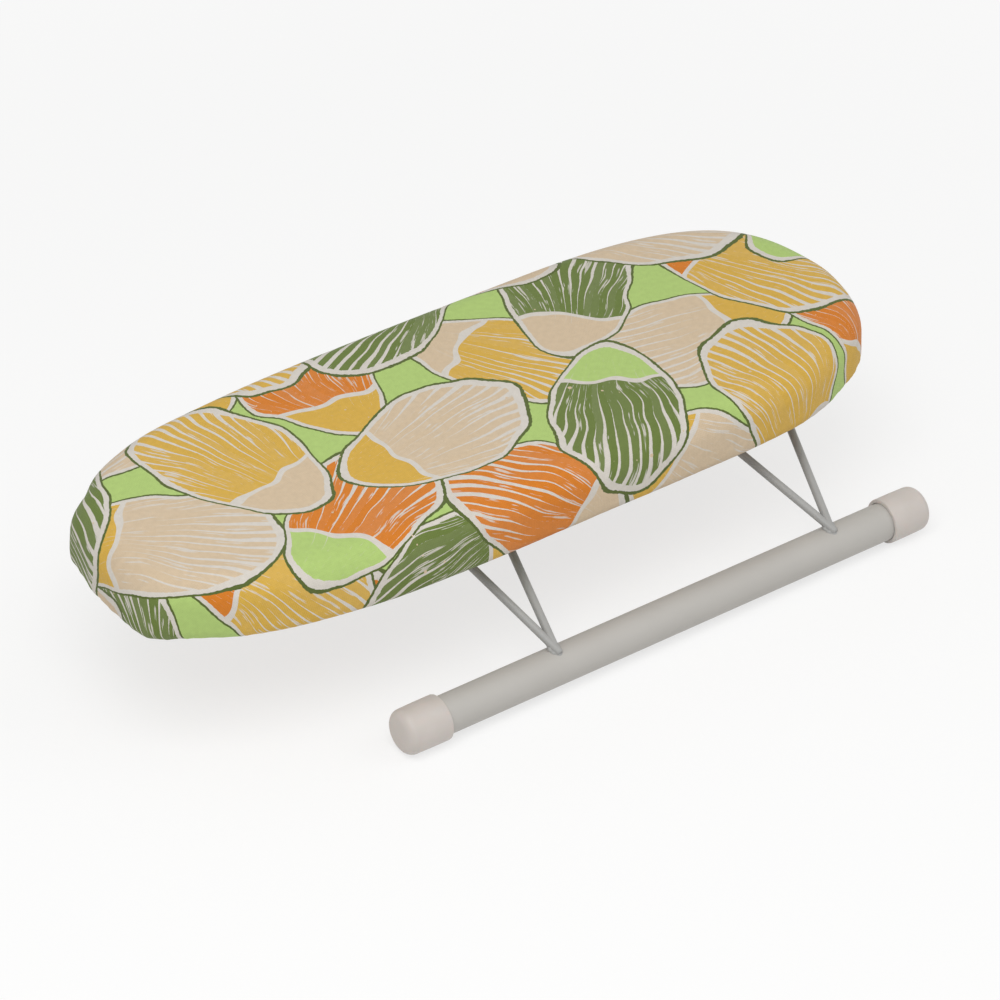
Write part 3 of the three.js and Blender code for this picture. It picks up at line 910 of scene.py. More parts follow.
def add_wall(piece: bpy.types.Object, name: str, thickness: float) -> None:
    """Gives a surface a thickness on its inner side.

    Args:
        piece: The surface, which faces outwards.
        name: What the wall is.
        thickness: How thick it is.
    """
    wall = piece.modifiers.new(name, "SOLIDIFY")
    wall.thickness = thickness
    wall.offset = -1.0


def crisp(piece: bpy.types.Object, angle_deg: float) -> None:
    """Marks the edges of a piece that turn more than an angle as sharp."""
    piece.data.set_sharp_from_angle(angle=math.radians(angle_deg))


def extrude_ring(
    bm: bmesh.types.BMesh, edges: Sequence[bmesh.types.BMEdge]
) -> tuple[list[bmesh.types.BMVert], list[bmesh.types.BMEdge]]:
    """Extrudes a closed ring of edges in place.

    Args:
        bm: The mesh that holds the ring.
        edges: The ring's edges.

    Returns:
        The new ring's vertices and edges.
    """
    made = bmesh.ops.extrude_edge_only(bm, edges=list(edges))["geom"]
    verts = [g for g in made if isinstance(g, bmesh.types.BMVert)]
    known = set(verts)
    ring = [g for g in made if isinstance(g, bmesh.types.BMEdge) and all(v in known for v in g.verts)]
    return verts, ring


def loft_rings(
    bm: bmesh.types.BMesh, count: int, rings: int, place: Callable[[int, int, bmesh.types.BMVert], Vector]
) -> None:
    """Lofts a surface by extruding one ring again and again and moving each copy to its place.

    Args:
        bm: The mesh that gets the surface.
        count: Points in a ring.
        rings: Number of rings.
        place: Gives the place of a point from its number in the ring, its ring, and its vertex.
    """
    first = bmesh.ops.create_circle(bm, cap_ends=False, segments=count, radius=1.0)["verts"]
    order = sorted(first, key=lambda v: math.atan2(-v.co.x, -v.co.y) % FULL_TURN)
    edges = list({e for v in first for e in v.link_edges})
    made = []
    for ring in range(rings):
        if ring:
            verts, edges = extrude_ring(bm, edges)
            known = set(verts)
            order = [next(e.other_vert(v) for e in v.link_edges if e.other_vert(v) in known) for v in order]
        made.append(order)
    for ring, verts in enumerate(made):
        for i, vert in enumerate(verts):
            vert.co = place(i, ring, vert)


def sweep_round(
    bm: bmesh.types.BMesh, path: Sequence[Vector], radii: Sequence[float], across: Vector, sides: int
) -> None:
    """Sweeps a round section along a path that lies in one plane.

    Args:
        bm: The mesh that gets the bar.
        path: Points of its centre line.
        radii: Radius at each point.
        across: Normal of the plane that holds the path.
        sides: Facets around the bar.
    """
    frames = []
    for k, point in enumerate(path):
        tangent = (path[min(k + 1, len(path) - 1)] - path[max(k - 1, 0)]).normalized()
        side = across.cross(tangent).normalized()
        basis = Matrix((side, tangent.cross(side), tangent)).transposed().to_4x4()
        frames.append(Matrix.Translation(point) @ basis @ Matrix.Scale(radii[k], 4))
    start = bmesh.ops.create_circle(bm, cap_ends=True, segments=sides, radius=1.0, matrix=frames[0])["verts"]
    edges = list({e for v in start for e in v.link_edges})
    faces = list({f for v in start for f in v.link_faces})
    for k in range(1, len(frames)):
        verts, edges = extrude_ring(bm, edges)
        bmesh.ops.transform(bm, matrix=frames[k] @ frames[k - 1].inverted(), verts=verts)
        faces += {f for e in edges for f in e.link_faces}
    faces += bmesh.ops.edgeloop_fill(bm, edges=edges)["faces"]
    bmesh.ops.recalc_face_normals(bm, faces=faces)


def lathe(points: Sequence[tuple[float, float, float]], axis: Vector, steps: int) -> bmesh.types.BMesh:
    """Turns a profile about an axis through the origin.

    Args:
        points: The profile, from one point on the axis to another.
        axis: Direction of the axis.
        steps: Facets around it.

    Returns:
        The closed shape, as a new mesh.
    """
    bm = bmesh.new()
    verts = [bm.verts.new(point) for point in points]
    edges = [bm.edges.new(pair) for pair in zip(verts, verts[1:])]
    bmesh.ops.spin(
        bm, geom=verts + edges, cent=(0, 0, 0), axis=axis, angle=FULL_TURN, steps=steps, use_merge=True
    )
    bmesh.ops.remove_doubles(bm, verts=bm.verts, dist=SAME_POINT)
    bmesh.ops.recalc_face_normals(bm, faces=bm.faces)
    return bm


def limited(share: float) -> float:
    """Keeps a share between 0 and 1."""
    return min(1.0, max(0.0, share))


def arc(
    center: tuple[float, float], radius: float, start: float, sweep: float, steps: int
) -> list[tuple[float, float]]:
    """Lists the points of an arc in a section of inset and height.

    Args:
        center: Inset and height of its centre.
        radius: Its radius.
        start: Angle of its first point: zero points outwards, a quarter turn up.
        sweep: Angle from its first point to its last.
        steps: Number of steps between them.

    Returns:
        Inset and height of each point.
    """
    angles = [start + sweep * i / steps for i in range(steps + 1)]
    return [(center[0] - radius * math.cos(a), center[1] + radius * math.sin(a)) for a in angles]


def straight(
    start: tuple[float, float], end: tuple[float, float], steps: int
) -> list[tuple[float, float]]:
    """Lists evenly spaced points on a straight line in a section.

    Args:
        start: Where the line starts. This point isn't listed.
        end: Where it ends.
        steps: Number of points.

    Returns:
        Inset and height of each point.
    """
    run, climb = end[0] - start[0], end[1] - start[1]
    return [(start[0] + run * i / steps, start[1] + climb * i / steps) for i in range(1, steps + 1)]


@dataclass(frozen=True)
class Slack:
    """A place where the cover bags out a little, or draws in, around the board's edge.

    The place is measured along the outline from the sleeve tip, first along the front. The last value
    is the share of the move that is left at the rim of the flat top.
    """

    around: float
    width: float
    outward: float
    at_rim: float = 1.0


@dataclass
class BoardOutline:
    """The plan outline of the covered board: straight sides and two full, rounded ends."""

    length: float = 446 * MM
    width: float = 168 * MM
    sleeve_end: float = 190 * MM
    back_end: float = 137 * MM
    fullness: float = 0.725
    count: int = 720
    curve_steps: int = 600
    slacks: tuple[Slack, ...] = (
        Slack(2 * MM, 8 * MM, -1.3 * MM),
        Slack(36 * MM, 14 * MM, 5.8 * MM, 0.4),
        Slack(160 * MM, 24 * MM, 0.7 * MM),
        Slack(410 * MM, 16 * MM, 0.7 * MM),
        Slack(453 * MM, 13 * MM, -1.7 * MM),
        Slack(480 * MM, 14 * MM, 0.7 * MM, 0.0),
        Slack(530 * MM, 14 * MM, 1.0 * MM),
        Slack(790 * MM, 70 * MM, 0.6 * MM),
        Slack(956 * MM, 24 * MM, 1.5 * MM),
        Slack(1012 * MM, 12 * MM, -2.6 * MM),
        Slack(1032 * MM, 8 * MM, 1.8 * MM, 0.0),
        Slack(1052 * MM, 12 * MM, -2.1 * MM),
    )
    points: list[Vector] = field(default_factory=list)
    normals: list[Vector] = field(default_factory=list)
    turning: list[float] = field(default_factory=list)
    slack: list[float] = field(default_factory=list)
    rim_slack: list[float] = field(default_factory=list)
    step: float = 0.0

    def __post_init__(self) -> None:
        """Spaces the points evenly from the sleeve tip along the front to the back tip, and mirrors them."""
        half = self.width / 2
        left, right = -self.length / 2, self.length / 2
        left_side, right_side = left + self.sleeve_end, right - self.back_end
        full = self.fullness
        sleeve = interpolate_bezier(
            (left, 0, 0),
            (left, -half * full, 0),
            (left_side - self.sleeve_end * full, -half, 0),
            (left_side, -half, 0),
            self.curve_steps,
        )
        back = interpolate_bezier(
            (right_side, -half, 0),
            (right_side + self.back_end * full, -half, 0),
            (right, -half * full, 0),
            (right, 0, 0),
            self.curve_steps,
        )
        dense = [Vector(p) for p in [*sleeve, *back]]
        lengths = [0.0]
        for here, ahead in zip(dense, dense[1:]):
            lengths.append(lengths[-1] + (ahead - here).length)
        half_count = self.count // 2
        self.step = lengths[-1] / half_count
        front, k = [dense[0]], 0
        for i in range(1, half_count):
            target = i * self.step
            while lengths[k + 1] < target:
                k += 1
            share = (target - lengths[k]) / (lengths[k + 1] - lengths[k])
            front.append(dense[k].lerp(dense[k + 1], share))
        rear = [Vector((p.x, -p.y, 0)) for p in reversed(front[1:])]
        self.points = [*front, dense[-1], *rear]
        for i, here in enumerate(self.points):
            behind, ahead = self.points[i - 1], self.points[(i + 1) % self.count]
            along = (ahead - behind).normalized()
            self.normals.append(Vector((along.y, -along.x, 0)))
            bend = (here - behind).angle(ahead - here)
            self.turning.append(bend / self.step)
            moves = [self.slack_at(i * self.step, one) for one in self.slacks]
            self.slack.append(sum(moves))
            self.rim_slack.append(sum(move * one.at_rim for move, one in zip(moves, self.slacks)))

    def slack_at(self, around: float, one: Slack) -> float:
        """Gives how far one slack place moves the cover.

        Args:
            around: Distance along the outline.
            one: The slack place.

        Returns:
            The outward move.
        """
        length = self.step * self.count
        away = (around - one.around + length / 2) % length - length / 2
        return one.outward * math.exp(-((away / one.width) ** 2))

    def inset(self, i: int, distance: float, slack_share: float = 1.0, rise: float = 0.0) -> Vector:
        """Gives a point moved in from the outline by a distance.

        Args:
            i: Number of the point on the outline.
            distance: How far in.
            slack_share: How much of the cover's slack moves the point.
            rise: How far up the side the point is, from 0 to 1 at the rim of the top.

        Returns:
            The point, at height zero.
        """
        slack = self.slack[i] + (self.rim_slack[i] - self.slack[i]) * rise
        return self.points[i] - self.normals[i] * (distance - slack_share * slack)

    def grown_area(self, distance: float) -> float:
        """Gives the area inside the outline after it has grown by a distance."""
        ring = [self.inset(i, -distance, 0.0) for i in range(self.count)]
        return abs(sum(a.x * b.y - b.x * a.y for a, b in zip(ring, ring[1:] + ring[:1]))) / 2


@dataclass(frozen=True)
class Puckers:
    """How the spare cloth of the rounded ends gathers: broad waves, with sharp pleats in the tight turns.

    Turns are in radians per metre of the outline. Of a pair of values, the first holds on straight runs
    and the second is added in the tightest turns.
    """

    pleat_pitch: float = 9 * MM
    pleat_span: float = 0.3
    pleat_power: float = 1.4
    pleat_seed: float = 3.1
    wave_pitch: float = 26 * MM
    wave_seed: float = 1.7
    turn_from: float = 5.5
    turn_span: float = 8.0
    above_core: float = 2 * MM
    side_span: float = 14 * MM
    under_from: float = 2 * MM
    under_span: float = 16 * MM
    side_gain: tuple[float, float] = (0.5, 1.5)
    side_pleat: float = 0.3 * MM
    side_wave: float = 0.6 * MM
    side_draw: float = 0.1 * MM
    hem_pleat: tuple[float, float] = (0.1 * MM, 2.5 * MM)


@dataclass
class CoveredBoard:
    """The padded board: fibreboard, foam pad, printed cover with its hem, and the elastic in the hem."""

    outline: BoardOutline
    puckers: Puckers = Puckers()
    top: float = 105.4 * MM
    top_radius: float = 15 * MM
    hem_under: float = 69.5 * MM
    lower_radius: float = 6.5 * MM
    cloth: float = 1.0 * MM
    cloth_wall: float = 0.9 * MM
    hem_fold_inset: float = 24.9 * MM
    hem_fold_radius: float = 1.1 * MM
    hem_edge_inset: float = 20 * MM
    stitch_inset: float = 21.6 * MM
    stitch_length: float = 2.6 * MM
    stitch_pitch: float = 3.6 * MM
    stitch_half: tuple[float, float] = (0.28 * MM, 0.22 * MM)
    elastic_radius: float = 0.8 * MM
    elastic_sides: int = 10
    core_under: float = 70.8 * MM
    core_top: float = 82.8 * MM
    pad_gap: float = 0.3 * MM
    pad_sink: float = 0.9 * MM
    pad_crown: float = 0.5 * MM
    pad_fill: float = 0.95
    pad_skirt_inset: float = 6.5 * MM
    side_swell: float = 0.7 * MM
    swell_span: float = 36 * MM
    slack_fade: float = 16 * MM
    crown: float = 0.9 * MM
    crown_from: float = 0.45
    crown_span: float = 0.3
    rim_drop: float = 0.9 * MM
    rim_drop_span: float = 12 * MM
    ripple: float = 0.35 * MM
    ripple_cell: tuple[float, float] = (55 * MM, 40 * MM)
    ripple_seed: float = 0.4
    rise_from: float = 78 * MM
    rise_span: float = 20 * MM
    spine_share: float = 0.66
    top_rings: int = 14

    def rise(self, height: float) -> float:
        """Gives how far up the side a height is, from 0 on its lower part to 1 near the rim of the top."""
        return limited((height - self.rise_from) / self.rise_span)

    def spine(self, i: int) -> Vector:
        """Gives the place on the middle line from which the top spreads to a point of the outline."""
        return Vector((self.outline.points[i].x * self.spine_share, 0, 0))

    def cover_section(self) -> list[tuple[float, float, float]]:
        """Lists the cover's outer section from the rim of its flat top to the edge of its hem.

        Returns:
            Inset from the outline, height, and distance along the cloth, for each point.
        """
        side_low, side_high = self.hem_under + self.lower_radius, self.top - self.top_radius
        fold, fold_height = self.hem_fold_radius, self.hem_under - self.hem_fold_radius
        strip = self.hem_under - 2 * fold
        points = [
            *arc((self.top_radius, side_high), self.top_radius, QUARTER, -QUARTER, 9),
            *straight((0.0, side_high), (0.0, side_low), 5)[:-1],
            *arc((self.lower_radius, side_low), self.lower_radius, 0.0, -QUARTER, 7),
            *straight((self.lower_radius, self.hem_under), (self.hem_fold_inset, self.hem_under), 7),
            *arc((self.hem_fold_inset, fold_height), fold, QUARTER, math.pi, 6)[1:],
            *straight((self.hem_fold_inset, strip), (self.hem_edge_inset, strip), 3),
        ]
        section, along = [], 0.0
        for k, (inset, height) in enumerate(points):
            if k:
                along += math.dist(points[k], points[k - 1])
            section.append((inset, height, along))
        return section

    def gather(self, i: int, height: float, inset: float) -> tuple[float, float]:
        """Gives how far the spare cloth of the rounded ends puckers.

        Args:
            i: Number of the point on the outline.
            height: Height of the cloth.
            inset: Distance in from the outline.

        Returns:
            The outward and the downward move.
        """
        how = self.puckers
        around = i * self.outline.step
        tight = limited((self.outline.turning[i] - how.turn_from) / how.turn_span)
        crest = abs(noise.noise(Vector((around / how.pleat_pitch, how.pleat_seed, 0.0))))
        pleat = max(0.0, 1 - crest / how.pleat_span) ** how.pleat_power
        wave = noise.noise(Vector((around / how.wave_pitch, how.wave_seed, 0.0)))
        low = limited((self.core_top + how.above_core - height) / how.side_span)
        under = limited((inset - how.under_from) / how.under_span) if low > 0 else 0.0
        side = how.side_pleat * pleat - how.side_draw + how.side_wave * wave
        outward = low * (1 - under) * (how.side_gain[0] + how.side_gain[1] * tight) * side
        downward = under * (how.hem_pleat[0] + how.hem_pleat[1] * tight) * pleat
        return outward, downward

    def build_cover(self, finish: bpy.types.Material) -> bpy.types.Object:
        """Builds the stretched cover from the middle of its top to the edge of its hem.

        Args:
            finish: The printed cloth.

        Returns:
            The cover.
        """
        section = self.cover_section()
        outline = self.outline
        bm = bmesh.new()
        flat = bm.verts.layers.float_vector.new("flat_cloth")

        def place(i: int, ring: int, vert: bmesh.types.BMVert) -> Vector:
            """Puts a point of the cover in place and notes where it lies on the flat cloth.

            Args:
                i: Number of the point on the outline.
                ring: Number of the ring, from the middle of the top.
                vert: The vertex, which keeps the note.

            Returns:
                The place.
            """
            rim = outline.inset(i, self.top_radius, 1.0, 1.0)
            if ring < self.top_rings:
                share = ring / self.top_rings
                spot = self.spine(i).lerp(rim, share)
                vert[flat] = spot / MM
                cell = Vector((spot.x / self.ripple_cell[0], spot.y / self.ripple_cell[1], self.ripple_seed))
                crown = self.crown * max(0.0, share - self.crown_from) ** 2 / self.crown_span
                sink = self.ripple * (1 - noise.noise(cell))
                return Vector((spot.x, spot.y, self.top - crown - sink))
            inset, height, along = section[ring - self.top_rings]
            vert[flat] = (rim + outline.normals[i] * along) / MM
            loose = max(0.0, 1 - max(0.0, inset - self.lower_radius) / self.slack_fade)
            swell = self.side_swell * math.sin(math.pi * limited((self.top - height) / self.swell_span))
            outward, downward = self.gather(i, height, inset)
            drop = self.rim_drop * max(0.0, 1 - along / self.rim_drop_span)
            share = loose if height < self.core_top else 1.0
            spot = outline.inset(i, inset - swell - outward, share, self.rise(height))
            return Vector((spot.x, spot.y, height - drop - downward))

        loft_rings(bm, outline.count, self.top_rings + len(section), place)
        bmesh.ops.remove_doubles(bm, verts=bm.verts, dist=SAME_POINT)
        bmesh.ops.recalc_face_normals(bm, faces=bm.faces)
        near_top = self.top - self.top_radius / 3
        upward = sum(f.normal.z * f.calc_area() for f in bm.faces if f.calc_center_median().z > near_top)
        if upward < 0:
            bmesh.ops.reverse_faces(bm, faces=bm.faces)
        cover = finish_piece("fitted_cover", bm, finish, "board")
        add_wall(cover, "cloth thickness", self.cloth_wall)
        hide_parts("printed_cover")
        spare = section[-1][2] - self.top_radius
        outline.grown_area(spare)
        LOG.info("cover cut %.3f x %.3f m", outline.length + 2 * spare, outline.width + 2 * spare)
        return cover

    def build_pad(self, finish: bpy.types.Material) -> bpy.types.Object:
        """Builds the foam pad with its rounded edge and the skirt over the side of the fibreboard.

        Args:
            finish: The foam.

        Returns:
            The pad.
        """
        outline = self.outline
        inner = self.cloth + self.pad_gap
        top, radius = self.top - inner - self.pad_sink, self.top_radius - inner
        low_radius = self.lower_radius - inner
        outside = [
            *arc((inner + radius, top - radius), radius, QUARTER, -QUARTER, 8),
            *arc((inner + low_radius, self.core_under + low_radius), low_radius, 0.0, -QUARTER, 6),
        ]
        section = [
            *outside,
            (self.pad_skirt_inset, (self.core_under + self.core_top) / 2),
            (self.pad_skirt_inset, self.core_top + self.pad_gap),
        ]
        side_rings = self.top_rings + len(section)

        def place(i: int, ring: int, vert: bmesh.types.BMVert) -> Vector:
            """Puts a point of the pad in place.

            Args:
                i: Number of the point on the outline.
                ring: Number of the ring, from the middle of the top.
                vert: The vertex; not used.

            Returns:
                The place.
            """
            if ring < self.top_rings:
                share = ring / self.top_rings
                spot = self.spine(i).lerp(outline.inset(i, section[0][0], 1.0, 1.0), share)
                return Vector((spot.x, spot.y, top + self.pad_crown * (1 - share * share)))
            if ring < side_rings:
                k = ring - self.top_rings
                inset, height = section[k]
                spot = outline.inset(i, inset, 1.0 if k < len(outside) else 0.0, self.rise(height))
                return Vector((spot.x, spot.y, height))
            inset, height = section[-1]
            share = (ring - side_rings + 1) / self.top_rings
            spot = outline.inset(i, inset, 0.0).lerp(self.spine(i), share)
            return Vector((spot.x, spot.y, height))

        bm = bmesh.new()
        loft_rings(bm, outline.count, side_rings + self.top_rings, place)
        bmesh.ops.remove_doubles(bm, verts=bm.verts, dist=SAME_POINT)
        bmesh.ops.recalc_face_normals(bm, faces=bm.faces)
        pad = finish_piece("foam_padding", bm, finish, "board")
        crisp(pad, 50.0)
        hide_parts("foam_pad")
        return pad

    def build_elastic(self, finish: bpy.types.Material) -> bpy.types.Object:
        """Builds the elastic that runs round in the fold of the hem.

        Args:
            finish: The braid.

        Returns:
            The elastic.
        """
        outline = self.outline
        inset = self.hem_fold_inset - self.hem_fold_radius
        height = self.hem_under - self.hem_fold_radius

        def place(i: int, ring: int, vert: bmesh.types.BMVert) -> Vector:
            """Puts a point of the elastic in place, in the same puckers as the hem around it.

            Args:
                i: Number of the point on the outline.
                ring: Number of the point around the braid.
                vert: The vertex; not used.

            Returns:
                The place.
            """
            angle = FULL_TURN * ring / self.elastic_sides
            drop = self.gather(i, self.hem_under, self.hem_fold_inset)[1]
            spot = outline.inset(i, inset - self.elastic_radius * math.cos(angle), 0.0)
            return Vector((spot.x, spot.y, height - drop + self.elastic_radius * math.sin(angle)))

        bm = bmesh.new()
        loft_rings(bm, outline.count, self.elastic_sides, place)
        bmesh.ops.bridge_loops(bm, edges=[e for e in bm.edges if e.is_boundary])
        bmesh.ops.recalc_face_normals(bm, faces=bm.faces)
        elastic = finish_piece("hem_elastic_braid", bm, finish, "board")
        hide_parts("hem_elastic")
        return elastic

    def build_stitches(self, finish: bpy.types.Material) -> bpy.types.Object:
        """Builds the row of lock stitches that closes the hem.

        Args:
            finish: The thread.

        Returns:
            The stitches as one piece.
        """
        outline = self.outline
        under = self.hem_under - 2 * self.hem_fold_radius - self.cloth_wall
        count = round(outline.step * outline.count / self.stitch_pitch)
        size = Matrix.Diagonal((self.stitch_length / 2, *self.stitch_half, 1.0))
        bm = bmesh.new()
        for k in range(count):
            i = round(k * outline.count / count) % outline.count
            spot = outline.inset(i, self.stitch_inset, 0.0)
            drop = self.gather(i, self.hem_under, self.stitch_inset)[1]
            basis = Matrix((outline.normals[i].cross(UP), outline.normals[i], UP)).transposed().to_4x4()
            where = Matrix.Translation((spot.x, spot.y, under - drop)) @ basis @ size
            bmesh.ops.create_uvsphere(bm, u_segments=6, v_segments=4, radius=1.0, matrix=where)
        stitches = finish_piece("hem_stitches", bm, finish, "board")
        return stitches


@dataclass
class HingeFittings:
    """The pan-head screws that hold the four hinge lugs to the fibreboard."""

    screw_x: float = 12.55 * MM
    screw_y: float = 7 * MM
    stations: tuple[float, float] = (-28 * MM, 146.5 * MM)
    seat: float = 68.7 * MM
    head_radius: float = 3.5 * MM
    head_height: float = 2.0 * MM
    head_edge: float = 0.5 * MM
    head_fullness: float = 0.8
    shank_radius: float = 1.6 * MM
    neck_share: float = 0.75
    root_share: float = 0.72
    thread_turns: int = 6
    length: float = 9 * MM
    tip: float = 2 * MM
    facets: int = 28
    recess_width: float = 0.9 * MM
    recess_reach: float = 2.0 * MM
    recess_depth: float = 1.3 * MM
    turn_by_lug: float = 0.55
    turn_by_row: float = 0.9

    def screw_profile(self) -> list[tuple[float, float]]:
        """Lists the screw's profile from the middle of its head to its tip.

        Returns:
            Radius and height of each point, with the seat at height zero.
        """
        profile = [(0.0, -self.head_height)]
        dome = 6
        for i in range(1, dome + 1):
            angle = QUARTER * i / dome
            profile.append((
                self.head_radius * math.sin(angle) ** self.head_fullness,
                -self.head_height + (self.head_height - self.head_edge) * (1 - math.cos(angle)),
            ))
        profile += [(self.head_radius, 0.0), (self.shank_radius * self.neck_share, 0.0)]
        flanks = self.thread_turns * 2
        for i in range(flanks):
            radius = self.shank_radius * (1.0 if i % 2 else self.root_share)
            profile.append((radius, (self.length - self.tip) * (i + 1) / flanks))
        return [*profile, (0.0, self.length)]

    def screw_mesh(self) -> bpy.types.Mesh:
        """Builds one screw with its thread and its cross recess, its seat at the origin.

        Returns:
            The mesh.
        """
        solid = lathe([(r, 0.0, z) for r, z in self.screw_profile()], UP, self.facets)
        cross = bmesh.new()
        head = Matrix.Translation((0, 0, -self.head_height))
        reach, width, depth = self.recess_reach * 2, self.recess_width, self.recess_depth * 2
        for size in ((reach, width, depth, 1.0), (width, reach, depth, 1.0)):
            bmesh.ops.create_cube(cross, size=1.0, matrix=head @ Matrix.Diagonal(size))
        helpers = []
        for name, bm in (("screw blank", solid), ("cross recess", cross)):
            mesh = bpy.data.meshes.new(name)
            bm.to_mesh(mesh)
            bm.free()
            helpers.append(bpy.data.objects.new(name, mesh))
            bpy.context.scene.collection.objects.link(helpers[-1])
        blank, cutter = helpers
        cut = blank.modifiers.new("recess", "BOOLEAN")
        cut.operation = "DIFFERENCE"
        cut.object = cutter
        cut.use_self = True
        bpy.context.view_layer.update()
        screw = bpy.data.meshes.new_from_object(blank.evaluated_get(bpy.context.evaluated_depsgraph_get()))
        for helper in helpers:
            bpy.data.objects.remove(helper)
        return screw

    def build(self, finish: bpy.types.Material) -> list[bpy.types.Object]:
        """Builds the eight screws.

        Args:
            finish: The plated steel.

        Returns:
            The screws.
        """
        blank = self.screw_mesh()
        screws = []
        places = (
            ("left_outer", self.stations[0] - self.screw_x),
            ("left_inner", self.stations[0] + self.screw_x),
            ("right_inner", self.stations[1] - self.screw_x),
            ("right_outer", self.stations[1] + self.screw_x),
        )
        for number, (place, x) in enumerate(places):
            for row in Row:
                bm = bmesh.new()
                bm.from_mesh(blank)
                angle = self.turn_by_lug * number + self.turn_by_row * row.value
                where = Matrix.Translation((x, row.value * self.screw_y, self.seat))
                bmesh.ops.transform(bm, matrix=where @ Matrix.Rotation(angle, 4, "Z"), verts=bm.verts)
                tail = f"{place}_{row.name.lower()}"
                screw = finish_piece(f"pan_screw_{tail}", bm, finish, "board")
                crisp(screw, 40.0)
                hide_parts(f"screw_{tail}")
                screws.append(screw)
        return screws


